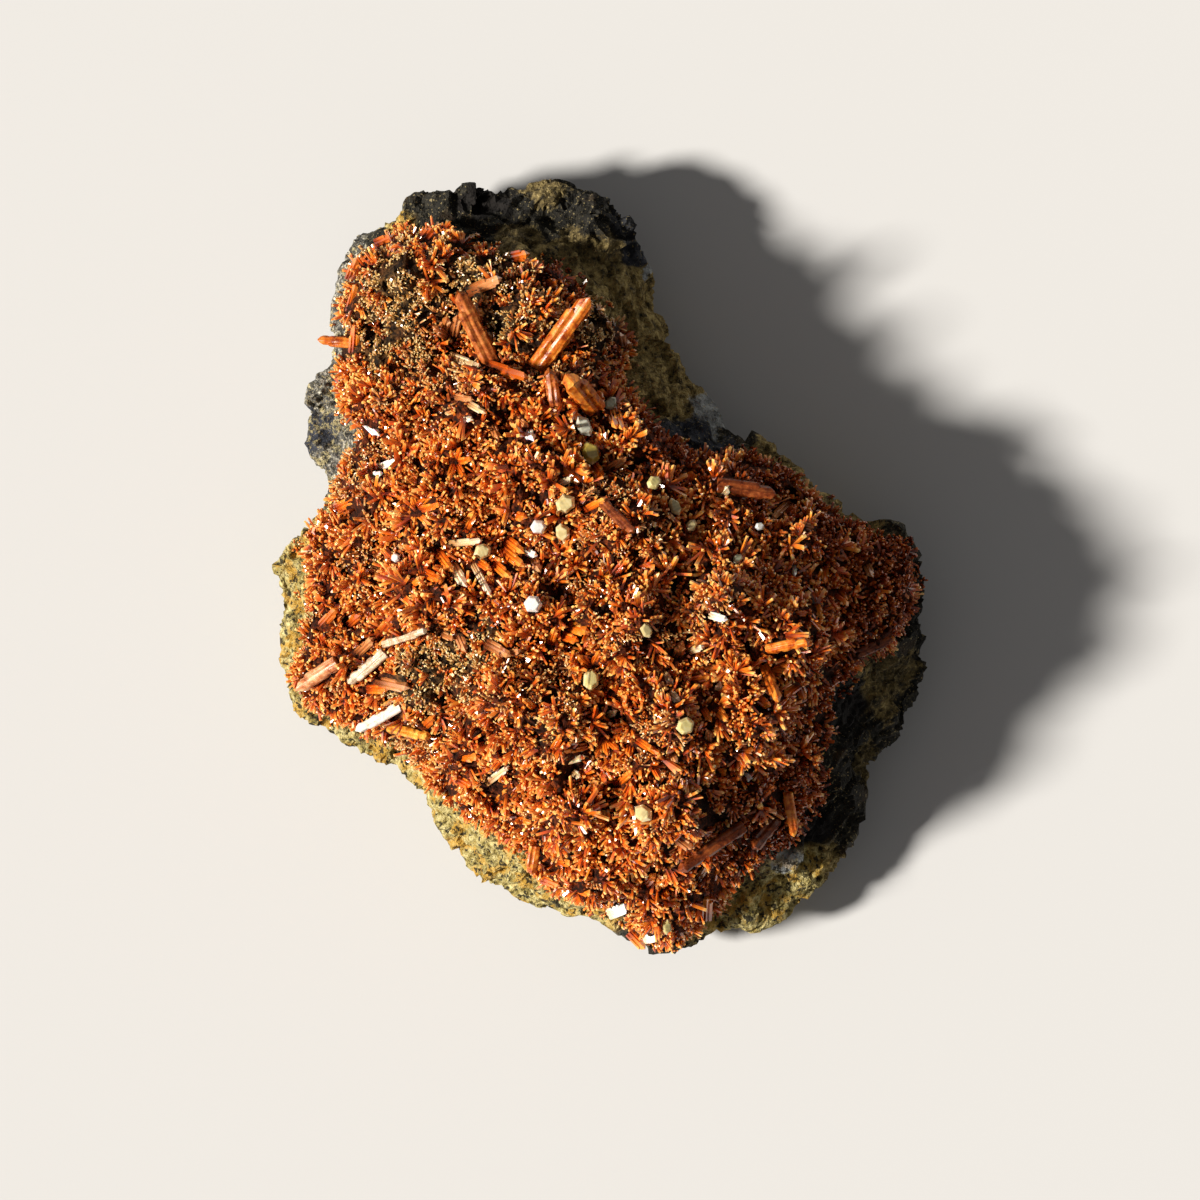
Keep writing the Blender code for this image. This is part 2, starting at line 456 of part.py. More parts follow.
def ground(tree, x, y):
    """The height and normal of the surface that is seen from above at (x, y)."""
    place, normal, _, _ = tree.ray_cast(Vector((x, y, 90)), Vector((0, 0, -1)))
    if place is None:
        return 0.0, Vector((0, 0, 1))
    return place.z, normal if normal.z > 0 else -normal


RHOMB = [(0, 1), (1, 0), (0, -1), (-1, 0)]
BLOCK = [(0, 1), (0.74, 0.64), (1, 0), (0.74, -0.64), (0, -1), (-0.74, -0.64), (-1, 0), (-0.74, 0.64)]


def add_crystal(bm, profile, foot, axis, side, size, chisel, slant, grow=0.0):
    """A prism with a roof-shaped end. Size is (length, width, depth). It grows outward by grow."""
    length, width, depth = size
    other = axis.cross(side)
    low = []
    high = []
    for u, v in profile:
        across = side * u * (width / 2 + grow) + other * v * (depth / 2 + grow)
        end = length - chisel * abs(u) * width / 2 - slant * v * depth / 2
        low.append(bm.verts.new(foot + across - axis * grow))
        high.append(bm.verts.new(foot + across + axis * (end + 1.5 * grow)))
    count = len(profile)
    bm.faces.new(low[::-1])
    for i in range(count):
        j = (i + 1) % count
        bm.faces.new((low[i], low[j], high[j], high[i]))
    half = count // 2
    bm.faces.new(high[: half + 1])
    bm.faces.new(high[half:] + high[:1])


def across(axis):
    """A horizontal unit vector at right angles to axis."""
    side = Vector((-axis.y, axis.x, 0))
    return side.normalized() if side.length > 0.01 else Vector((1, 0, 0))


def prism_pose(tree, x, y, plan, width, heading, least_rise):
    """(foot, axis, length) of a prism that stands clear of the surface under it."""
    heading = math.radians(heading)
    way = Vector((math.cos(heading), math.sin(heading)))
    foot = Vector((x, y)) - way * plan / 2
    foot_height = ground(tree, *foot)[0] - PRISM_SINK * width
    slope = math.tan(math.radians(least_rise))
    for share in (0.4, 0.6, 0.8, 1.0):
        under = ground(tree, *(foot + way * plan * share))[0]
        clear = under + 2 * PRISM_CLEARANCE * width * share
        slope = max(slope, (clear - foot_height) / (plan * share))
    axis = Vector((*way, slope)).normalized()
    buried = 0.5 * width
    start = Vector((*foot, foot_height)) - axis * buried
    return start, axis, plan * math.hypot(1, slope) + buried


def make_prism(name, pose, width, rng, material, sockets):
    """A large prism with a shorter one grown along its side, and the socket for both."""
    foot, axis, length = pose
    side = across(axis)
    depth = width * PRISM_FLATNESS
    chisel = rng.uniform(0.5, 1.0)
    slant = rng.uniform(-0.5, 0.5)
    hand = rng.choice((-1, 1))
    beside = foot + side * hand * 0.34 * width + axis.cross(side) * 0.18 * depth
    pieces = [
        (foot, (length, width * 0.86, depth)),
        (beside, (length * rng.uniform(0.72, 0.84), width * 0.5, depth * 0.7)),
    ]
    made = []
    for i, (start, size) in enumerate(pieces):
        bm = bmesh.new()
        add_crystal(bm, BLOCK, start, axis, side, size, chisel, slant)
        made.append(add_object(name if not i else name + "_beside", bm, None if i else material))
        add_crystal(sockets, BLOCK, start, axis, side, size, chisel, slant, GAP)
    combine(made[0], made[1], "UNION")
    settle(made[0])


def make_tablet(name, tree, x, y, length, width, heading, rng, material, sockets):
    """A six-sided cerussite tablet with bevelled edges, half sunk in the crust, and its socket."""
    height, normal = ground(tree, x, y)
    normal = (normal * 0.6 + Vector((0, 0, 1))).normalized()
    long_way = Vector((math.cos(math.radians(heading)), math.sin(math.radians(heading)), 0))
    long_way = (long_way - normal * long_way.dot(normal)).normalized()
    wide_way = normal.cross(long_way)
    middle = Vector((x, y, height)) + normal * TABLET_LIFT * width
    corners = []
    for i in range(6):
        turn = math.radians(60 * i + rng.uniform(-9, 9))
        corners.append((math.cos(turn), math.sin(turn)))
    own = bmesh.new()
    for bm, grow in ((own, 0.0), (sockets, GAP)):
        rings = []
        for level, share in ((-0.5, TABLET_BEVEL), (-0.05, 1.0), (0.12, 1.0), (0.5, TABLET_BEVEL)):
            rise = level * (TABLET_THICKNESS * width + 2 * grow)
            ring = []
            for u, v in corners:
                out = long_way * u * (length / 2 * share + grow)
                out += wide_way * v * (width / 2 * share + grow)
                ring.append(bm.verts.new(middle + out + normal * rise))
            rings.append(ring)
        bm.faces.new(rings[0])
        bm.faces.new(rings[-1])
        for lower, upper in zip(rings, rings[1:]):
            for i in range(6):
                j = (i + 1) % 6
                bm.faces.new((lower[i], lower[j], upper[j], upper[i]))
    add_object(name, own, material)
    return middle, length / 2


def combine(obj, other, operation):
    """Adds an exact Boolean of obj with other, which may hold solids that overlap."""
    modifier = obj.modifiers.new(other.name, "BOOLEAN")
    modifier.operation = operation
    modifier.solver = "EXACT"
    modifier.use_self = True
    modifier.object = other


def settle(obj):
    """Fixes the result of obj's modifiers as its mesh, and keeps only its largest part."""
    bpy.context.view_layer.update()
    graph = bpy.context.evaluated_depsgraph_get()
    mesh = bpy.data.meshes.new_from_object(obj.evaluated_get(graph))
    helpers = [m.object for m in obj.modifiers]
    obj.modifiers.clear()
    obj.data = mesh
    bm = bmesh.new()
    bm.from_mesh(mesh)
    bmesh.ops.remove_doubles(bm, verts=bm.verts, dist=0.004 * MM)
    bmesh.ops.dissolve_degenerate(bm, edges=bm.edges, dist=0.004 * MM)
    bmesh.ops.delete(bm, geom=[e for e in bm.edges if e.is_wire], context="EDGES")
    bmesh.ops.triangulate(bm, faces=bm.faces)
    left = set(bm.verts)
    parts = []
    while left:
        part = set()
        ahead = [left.pop()]
        while ahead:
            vert = ahead.pop()
            part.add(vert)
            near = {e.other_vert(vert) for e in vert.link_edges} & left
            left -= near
            ahead += near
        parts.append(part)
    parts.sort(key=len)
    for part in parts[:-1]:
        bmesh.ops.delete(bm, geom=list(part), context="VERTS")
    bm.to_mesh(mesh)
    bm.free()
    return helpers


def crystal_pose(rock_tree, x, y, tip_x, tip_y):
    """(foot, axis, length) of a small crystal, which rises clear of the rock to its tip."""
    fall_x = ground(rock_tree, x - 1, y)[0] - ground(rock_tree, x + 1, y)[0]
    fall_y = ground(rock_tree, x, y - 1)[0] - ground(rock_tree, x, y + 1)[0]
    normal = Vector((fall_x, fall_y, 2)).normalized()
    foot = Vector((x, y, ground(rock_tree, x, y)[0])) + normal * CRYSTAL_ROOT
    run = Vector((tip_x, tip_y)) - foot.xy
    slope = 0.0
    for share in (0.5, 0.75, 1.0):
        above = ground(rock_tree, *(foot.xy + run * share))[0] + CRYSTAL_RISE * (0.5 + 0.5 * share)
        slope = max(slope, (above - foot.z) / (run.length * share))
    rise = min(slope, CRYSTAL_STEEPEST) * run.length
    whole = Vector((*run, rise))
    return foot, whole.normalized(), whole.length


def segment_distance(point, start, end):
    """How far point is from the straight line between start and end."""
    run = end - start
    along = min(1.0, max(0.0, (point - start).dot(run) / run.length_squared))
    return (point - start - run * along).length


def add_crystals(bm, rock_tree, edge, taken):
    """The small crystals that stand on the crust, clear of the rock and of what is taken."""
    rng = random.Random(CRYSTAL_SEED)
    for x, y, tip_x, tip_y, width in CRYSTALS:
        foot, axis, length = crystal_pose(rock_tree, x, y, tip_x, tip_y)
        chisel = rng.uniform(0.5, 1.2)
        slant = rng.uniform(-0.8, 0.8)
        if not inside(foot.x, foot.y, edge) or edge_distance(foot.x, foot.y, edge) < CRYSTAL_MARGIN:
            continue
        samples = [foot + axis * length * k / 8 for k in range(9)]
        if any(
            segment_distance(point, start, end) < radius + width / 2 + 0.5
            for point in samples
            for start, end, radius in taken
        ):
            continue
        if all(rock_tree.find_nearest(point)[3] > width / 2 + GAP for point in samples):
            add_crystal(bm, RHOMB, foot, axis, across(axis), (length, width, 0.8 * width), chisel, slant)


def main():
    clear_scene()
    noise.seed_set(NOISE_SEED)
    orange = finish("crocoite", CROCOITE_ORANGE, 0.3)
    red = finish("crocoite_large", CROCOITE_RED, 0.25)
    cream = finish("cerussite", CERUSSITE_CREAM, 0.2)
    rim = finer(ROCK_RIM, RIM_STEP, RIM_JAG)
    edge = finer(CRUST_EDGE, RIM_STEP, RIM_JAG)
    places, faces = upper_face(rim, edge)
    rock = make_rock(places, faces, finish("rock", ROCK_OLIVE, 0.9))
    druse = make_crust(places, [face for face, on_crust in faces if on_crust], orange)

    rock_tree = tree_of([rock])
    crust_tree = tree_of([rock, druse])
    rng = random.Random(CRYSTAL_SEED)
    sockets = bmesh.new()
    taken = []
    for name, (x, y, plan, width, heading, rise) in PRISMS.items():
        pose = prism_pose(crust_tree, x, y, plan, width, heading, rise)
        make_prism(name, pose, width, rng, red, sockets)
        foot, axis, length = pose
        taken.append((foot, foot + axis * length, 0.7 * width))
    for name, numbers in TABLETS.items():
        middle, radius = make_tablet(name, crust_tree, *numbers, rng, cream, sockets)
        taken.append((middle, middle + Vector((0, 0, 0.1)), radius))

    crystals = bmesh.new()
    add_crystals(crystals, rock_tree, edge, taken)
    combine(druse, add_object("crystals", crystals), "UNION")
    socket_object = add_object("sockets", sockets)
    combine(druse, socket_object, "DIFFERENCE")
    combine(rock, socket_object, "DIFFERENCE")
    helpers = settle(druse) + settle(rock)
    for helper in set(helpers):
        bpy.data.objects.remove(helper)
    for obj in [o for o in bpy.data.objects if o.name.endswith("_beside")]:
        bpy.data.objects.remove(obj)


main()
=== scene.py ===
"""The looks of a crocoite specimen: orange-red crystals with pale cerussite on gossan.

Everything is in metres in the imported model's frame. The specimen lies on its sawn back, so its
crystals face up, and the camera looks down on it.
"""

import math
import random

import bmesh
import bpy
import numpy as np
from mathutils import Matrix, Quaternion, Vector, noise
from mathutils.bvhtree import BVHTree


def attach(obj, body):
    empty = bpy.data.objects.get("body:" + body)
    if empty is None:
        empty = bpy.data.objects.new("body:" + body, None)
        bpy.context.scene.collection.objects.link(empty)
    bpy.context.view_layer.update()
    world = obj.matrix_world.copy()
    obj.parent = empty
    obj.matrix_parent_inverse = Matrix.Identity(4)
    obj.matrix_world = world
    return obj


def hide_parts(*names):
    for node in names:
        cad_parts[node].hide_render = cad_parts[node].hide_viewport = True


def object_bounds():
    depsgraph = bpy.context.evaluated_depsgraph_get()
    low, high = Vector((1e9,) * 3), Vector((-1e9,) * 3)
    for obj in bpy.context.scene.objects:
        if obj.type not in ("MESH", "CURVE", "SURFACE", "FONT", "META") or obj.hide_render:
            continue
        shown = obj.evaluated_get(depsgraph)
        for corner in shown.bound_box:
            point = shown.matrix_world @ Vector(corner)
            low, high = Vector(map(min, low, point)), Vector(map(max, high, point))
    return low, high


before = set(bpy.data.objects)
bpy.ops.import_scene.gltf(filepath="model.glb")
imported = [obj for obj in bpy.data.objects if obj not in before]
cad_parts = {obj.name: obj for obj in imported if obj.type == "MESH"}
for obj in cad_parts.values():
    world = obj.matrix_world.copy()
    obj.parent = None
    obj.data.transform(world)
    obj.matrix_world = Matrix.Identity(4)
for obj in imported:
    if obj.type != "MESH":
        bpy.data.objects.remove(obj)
packed_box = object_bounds()
noise.seed_set(5)

# The host rock is gossan, the weathered top of a lead ore body: one broken block of dark, layered
# rock, with olive and ochre grains on its slopes, a little quartz, and pits. Its back is sawn.
MM = 0.001


class Shade:
    """A value that changes over a surface, so that shader sums can be written plainly."""

    def __init__(self, finish, socket):
        self.finish = finish
        self.socket = socket

    def sum(self, operation, first, second):
        return self.finish.add("ShaderNodeMath", {"operation": operation}, {0: first, 1: second})

    def __add__(self, other):
        return self.sum("ADD", self, other)

    def __radd__(self, other):
        return self.sum("ADD", other, self)

    def __sub__(self, other):
        return self.sum("SUBTRACT", self, other)

    def __rsub__(self, other):
        return self.sum("SUBTRACT", other, self)

    def __mul__(self, other):
        return self.sum("MULTIPLY", self, other)

    def __rmul__(self, other):
        return self.sum("MULTIPLY", other, self)

    def __pow__(self, other):
        return self.sum("POWER", self, other)


class Finish:
    """A material and the nodes that its colour, roughness and relief come from."""

    def __init__(self, name):
        self.material = bpy.data.materials.new(name)
        self.material.use_nodes = True
        self.nodes = self.material.node_tree.nodes
        self.shader = self.nodes["Principled BSDF"]

    def feed(self, socket, value):
        if isinstance(value, Shade):
            self.material.node_tree.links.new(value.socket, socket)
        elif isinstance(value, (tuple, list)) and len(value) == 3 and len(socket.default_value) == 4:
            socket.default_value = (*value, 1)
        else:
            socket.default_value = value

    def add(self, kind, settings=None, sockets=None, out=0):
        """A node with these settings and sockets, as the value of its output."""
        node = self.nodes.new(kind)
        for name, value in (settings or {}).items():
            if name == "stops":
                ramp = node.color_ramp.elements
                while len(ramp) < len(value):
                    ramp.new(0.5)
                for element, (place, colour) in zip(ramp, value):
                    element.position = place
                    element.color = (*colour, 1)
            else:
                setattr(node, name, value)
        for name, value in (sockets or {}).items():
            self.feed(node.inputs[name], value)
        return Shade(self, node.outputs[out])

    def place(self):
        return self.add("ShaderNodeTexCoord", out="Object")

    def grain(self, size, detail=3.0, distortion=0.0, rough=0.55, shift=0.0):
        """Noise from 0 to 1 with lumps of this size in metres."""
        place = self.add("ShaderNodeMapping", {}, {"Vector": self.place(), "Location": (shift, shift, 0)})
        sockets = {"Vector": place, "Scale": 1 / size, "Detail": detail}
        sockets |= {"Distortion": distortion, "Roughness": rough}
        return self.add("ShaderNodeTexNoise", {}, sockets)

    def ramp(self, value, *stops):
        return self.add("ShaderNodeValToRGB", {"stops": stops}, {0: value})

    def step(self, value, low, high):
        """0 below low, 1 above high and smooth between them."""
        sockets = {"Value": value, "From Min": low, "From Max": high}
        return self.add("ShaderNodeMapRange", {"interpolation_type": "SMOOTHSTEP"}, sockets)

    def mix(self, factor, first, second):
        """One colour turning to the other as factor goes from 0 to 1."""
        return self.add("ShaderNodeMix", {"data_type": "RGBA"}, {0: factor, 6: first, 7: second}, 2)

    def mark(self, name):
        return self.add("ShaderNodeAttribute", {"attribute_name": name}, out="Fac")

    def set(self, **sockets):
        for name, value in sockets.items():
            self.feed(self.shader.inputs[name.replace("_", " ")], value)

    def relief(self, height, depth, strength=1.0):
        sockets = {"Height": height, "Distance": depth, "Strength": strength}
        self.set(Normal=self.add("ShaderNodeBump", {}, sockets))


def merged(node):
    """A bmesh of a CAD node with its triangles joined."""
    bm = bmesh.new()
    bm.from_mesh(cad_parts[node].data)
    bmesh.ops.remove_doubles(bm, verts=bm.verts, dist=1e-6)
    return bm


def tree_of(*meshes):
    """A tree for ray casts on all of these meshes."""
    verts = []
    faces = []
    for mesh in meshes:
        start = len(verts)
        verts += [v.co.copy() for v in mesh.vertices]
        faces += [[start + i for i in p.vertices] for p in mesh.polygons]
    return BVHTree.FromPolygons(verts, faces)


def piece_of(name, bm, finish, slot, *replaced):
    """Makes bm a piece of the specimen, which stands for CAD nodes if any are given."""
    mesh = bpy.data.meshes.new(name)
    bm.to_mesh(mesh)
    bm.free()
    return dressed(name, mesh, finish, slot, *replaced)


def dressed(name, mesh, finish, slot, *replaced):
    piece = bpy.data.objects.new(name, mesh)
    bpy.context.collection.objects.link(piece)
    mesh.materials.append(finish.material)
    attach(piece, "root")
    if replaced:
        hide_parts(*replaced)
    return piece


def applied(obj):
    """The mesh that obj's modifiers make. The object itself goes."""
    graph = bpy.context.evaluated_depsgraph_get()
    mesh = bpy.data.meshes.new_from_object(obj.evaluated_get(graph))
    bpy.data.objects.remove(obj)
    return mesh


DOWN = Vector((0, 0, -1))
OVERHEAD = 0.09  # metres, above every crystal


def seen_from_above(tree, x, y):
    """The place and the normal that a look from above finds at (x, y), in millimetres."""
    return tree.ray_cast(Vector((x * MM, y * MM, OVERHEAD)), DOWN)[:2]


FALL = 1.6  # how steeply near() rises from a spot's edge


def near(place, spots):
    """1 close to any spot (x, y, radius in millimetres), falling to 0 past its radius."""
    most = 0.0
    for x, y, radius in spots:
        away = math.hypot(place.x / MM - x, place.y / MM - y) / radius
        most = max(most, 1 - away)
    return min(1.0, FALL * max(0.0, most))


def broken(place, size):
    """The rise of a broken surface at a place: facets of about this size, tilted at random."""
    at = place / size
    middle = noise.voronoi(at)[1][0]
    tilt = noise.cell_vector(middle * 3.7) - Vector((0.5, 0.5, 0.5))
    return (at - middle).dot(tilt) * size


# Where each kind of rock shows, and where shade is painted onto it: (x, y, radius), in millimetres as seen
# from above.
YELLOW_CRUST = [(-36, -3, 9), (-35, 4, 7), (-37, -10, 8), (-34, -17, 7), (-20, -27, 8), (-16, -33, 9)]
YELLOW_CRUST += [(-9, -37, 9), (-25, -22, 7), (-2, -39, 6), (16, -41, 8), (22, -38, 6), (-23, 39, 2.5)]
OLIVE_GRAINS = [(0, 33, 7), (4, 27, 7), (8, 21, 6), (22, 11, 7), (28, 6, 6), (33, -13, 5), (14, -40, 6)]
OLIVE_GRAINS += [(3, 30, 8), (33, -22, 4), (24, -35, 6), (-6, 43.4, 3), (-9, 37, 4), (-3, 36, 4)]
SPARKLING_GREY = [(-32, 20, 8), (-31, 30, 6), (-32, 12, 5), (-30, 37, 4), (21, -34, 3)]
QUARTZ = [(12.5, 18.5, 3.4), (4.6, 37, 1.6), (5.4, 33.5, 1.3), (26, -18, 2.2), (21, -33.5, 2.0)]
BLUE_BLACK = [(10, 14.5, 4), (13, 13.5, 3), (3.4, 40, 2.6), (4.6, 36, 2.0), (-33, 16, 3)]
# Partly the top block's own dark layered rock, partly painted shade on the right flank and the lower right,
# where the light does not reach.
DARK_ROCK_AND_SHADE = [(-12, 42, 11), (-2, 41, 9), (2, 39, 6), (30, -27, 9), (36, -5, 6), (35, -12, 7)]
DARK_ROCK_AND_SHADE += [(32, -20, 7)]
# Painted shade: spots in the rock's caves, painted near black for the shade in them.
PAINTED_CAVE_SHADE = [(-14, 42.3, 2.8), (-11.5, 41.8, 2.2), (21.3, 7.7, 1.6), (19.5, -26, 3), (24, -30, 4), (28, -16, 4)]

# The rock's sizes, in millimetres.
ROCK_VOXEL = 0.49  # the finest relief that is kept as mesh
EDGE_WOBBLE = 1.6  # how far the edge between two kinds of rock wanders
SIDE_WOBBLE = 9  # the same on the broken sides, near the table
SIDE_HEIGHT = 13
SAWN_HEIGHT = 0.4  # the saw's face, which keeps its own colour
LEFT_FLAT = 0.6  # the rock under this height isn't roughened
ROUGHENING = 1.2  # the height over which the relief grows to its full depth
LEDGE = 1.7  # the height of one layer of the rock
DEEPEST = -1.4  # the relief's deepest pit and highest point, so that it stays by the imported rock
HIGHEST = 0.6

rock = bpy.data.objects.new("rock", bpy.data.meshes.new("rock"))
bpy.context.collection.objects.link(rock)
bm = merged("matrix")
bm.to_mesh(rock.data)
bm.free()
remesh = rock.modifiers.new("fine", "REMESH")
remesh.mode = "VOXEL"
remesh.voxel_size = ROCK_VOXEL * MM
rock_mesh = applied(rock)

rock_tree = tree_of(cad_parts["matrix"].data)
crust_tree = tree_of(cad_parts["crocoite_druse"].data)
bm = bmesh.new()
bm.from_mesh(rock_mesh)
bmesh.ops.smooth_vert(bm, verts=bm.verts, factor=0.5, use_axis_x=True, use_axis_y=True, use_axis_z=True)
bm.normal_update()
marks = {"yellow": YELLOW_CRUST, "olive": OLIVE_GRAINS, "grey": SPARKLING_GREY, "quartz": QUARTZ}
marks |= {"blue": BLUE_BLACK, "dark": DARK_ROCK_AND_SHADE, "cave": PAINTED_CAVE_SHADE}
layers = {name: bm.verts.layers.float.new(name) for name in marks}
layer_sawn = bm.verts.layers.float.new("sawn")
moves = []
for vert in bm.verts:
    place = vert.co / MM
    wobble = noise.noise_vector(place * 0.45) * EDGE_WOBBLE
    wobble += noise.noise_vector(place * 0.13) * SIDE_WOBBLE * max(0.0, 1 - place.z / SIDE_HEIGHT)
    seen = {name: near(vert.co + wobble * MM, spots) for name, spots in marks.items()}
    for name, layer in layers.items():
        vert[layer] = seen[name]
    vert[layer_sawn] = 1.0 if place.z < SAWN_HEIGHT and vert.normal.z < -0.7 else 0.0
    covered = crust_tree.ray_cast(vert.co - DOWN * 0.2 * MM, -DOWN)[0]
    if place.z < LEFT_FLAT or covered:
        moves.append(0.0)
        continue
    coarse = noise.noise(place * 0.32) * 0.45
    fine = noise.noise(place * 0.9 + Vector((3, 1, 4))) * 0.34
    grains = (0.5 - noise.cell(place * 1.4)) * 0.16 + noise.noise(place * 2.2) * 0.2
    pits = -0.9 * max(0.0, noise.noise(place * 0.62 + Vector((9, 9, 9))) - 0.28)
    level = (place.z + 0.10 * place.x + 0.22 * place.y) / LEDGE + 1.6 * noise.noise(place * 0.11)
    layered = (level - math.floor(level) - 0.5) * 0.5 * (seen["dark"] + 0.35)
    facets = broken(place, 5.0) * 0.6 + broken(place + Vector((5, 5, 5)), 1.9) * 0.6
    move = coarse + fine + layered + facets - 0.15
    move += grains * (0.6 + 0.4 * seen["olive"] + 0.8 * seen["yellow"])
    move += pits * (1 + 2.0 * seen["yellow"])
    moves.append(max(DEEPEST, min(HIGHEST, move)) * min(1.0, (place.z - LEFT_FLAT) / ROUGHENING))
for vert, move in zip(bm.verts, moves):
    vert.co += vert.normal * move * MM

gossan = Finish("gossan")
broad = gossan.grain(7 * MM, 4)
fine = gossan.grain(0.9 * MM, 5, rough=0.7, shift=0.3)
specks = gossan.grain(0.45 * MM, 2, rough=0.8, shift=0.7)
body = gossan.ramp(
    broad * 0.45 + fine * 0.55,
    (0.38, (0.004, 0.004, 0.003)),
    (0.50, (0.017, 0.015, 0.010)),
    (0.60, (0.062, 0.055, 0.036)),
    (0.68, (0.240, 0.210, 0.140)),
)
olive = gossan.ramp(
    fine,
    (0.34, (0.016, 0.012, 0.004)),
    (0.48, (0.200, 0.140, 0.042)),
    (0.68, (0.560, 0.420, 0.160)),
)
yellow = gossan.ramp(
    fine,
    (0.36, (0.024, 0.018, 0.005)),
    (0.45, (0.250, 0.190, 0.045)),
    (0.64, (0.620, 0.530, 0.250)),
)
grey = gossan.ramp(
    specks * 0.6 + fine * 0.4,
    (0.40, (0.014, 0.014, 0.014)),
    (0.52, (0.130, 0.122, 0.105)),
    (0.64, (0.62, 0.58, 0.47)),
)
quartz = gossan.ramp(fine, (0.34, (0.10, 0.105, 0.11)), (0.62, (0.40, 0.42, 0.42)))
blue = gossan.ramp(fine, (0.36, (0.006, 0.007, 0.012)), (0.66, (0.045, 0.050, 0.068)))
stain = gossan.step(gossan.grain(4 * MM, 4, shift=0.9), 0.58, 0.72)
colour = gossan.mix(stain * 0.4, body, (0.12, 0.062, 0.018))
break_up = (fine - 0.5) * 1.4
kinds_of_rock = {"olive": olive, "grey": grey, "yellow": yellow, "quartz": quartz, "blue": blue}
for name, shade in kinds_of_rock.items():
    colour = gossan.mix(gossan.step(gossan.mark(name) + break_up, 0.22, 0.55), colour, shade)
ochre = gossan.step(gossan.grain(2.2 * MM, 3, shift=2.9), 0.48, 0.60) * gossan.mark("yellow")
colour = gossan.mix(ochre * 0.75, colour, (0.46, 0.25, 0.025))
moss = gossan.step(gossan.grain(1.3 * MM, 4, shift=5.1), 0.50, 0.62)
moss = moss * gossan.step(gossan.mark("grey"), 0.2, 0.6) * gossan.step(specks, 0.42, 0.56)
colour = gossan.mix(moss * 0.8, colour, (0.42, 0.35, 0.16))
flecks = gossan.step(gossan.grain(0.35 * MM, 2, shift=6.3), 0.60, 0.68)
colour = gossan.mix(flecks * 0.7, colour, (0.34, 0.27, 0.13))
# Painted shade in part: near black over the dark spots, which is the top block's own dark rock and painted
# shade on the right flank and lower right.
colour = gossan.mix(gossan.mark("dark") * (0.6 - 0.5 * flecks), colour, (0.008, 0.007, 0.005))
# Painted shade: small spots of the yellow crust turn near black, for the shade in its pits.
pits = gossan.step(gossan.grain(0.7 * MM, 2, shift=1.7), 0.56, 0.62)
pits = pits * gossan.step(gossan.mark("yellow"), 0.1, 0.4)
colour = gossan.mix(pits * 0.92, colour, (0.012, 0.010, 0.006))
# Painted shade: the caves' spots turn near black.
painted_cave_shade = gossan.step(gossan.mark("cave") + break_up * 0.4, 0.2, 0.6)
colour = gossan.mix(painted_cave_shade, colour, (0.006, 0.004, 0.003))
sawn = gossan.ramp(
    broad * 0.5 + fine * 0.5,
    (0.40, (0.030, 0.022, 0.014)),
    (0.52, (0.110, 0.078, 0.042)),
    (0.64, (0.300, 0.230, 0.120)),
)
colour = gossan.mix(gossan.mark("sawn"), colour, sawn)
gossan.set(Base_Color=colour, Roughness=0.92 - 0.5 * gossan.mark("grey") * gossan.step(specks, 0.5, 0.7))
gossan.set(Specular_IOR_Level=0.4)
gossan.relief(fine * 0.7 + specks * 0.8, 0.5 * MM, 1.0)
rock = piece_of("rock", bm, gossan, "gossan", "matrix")

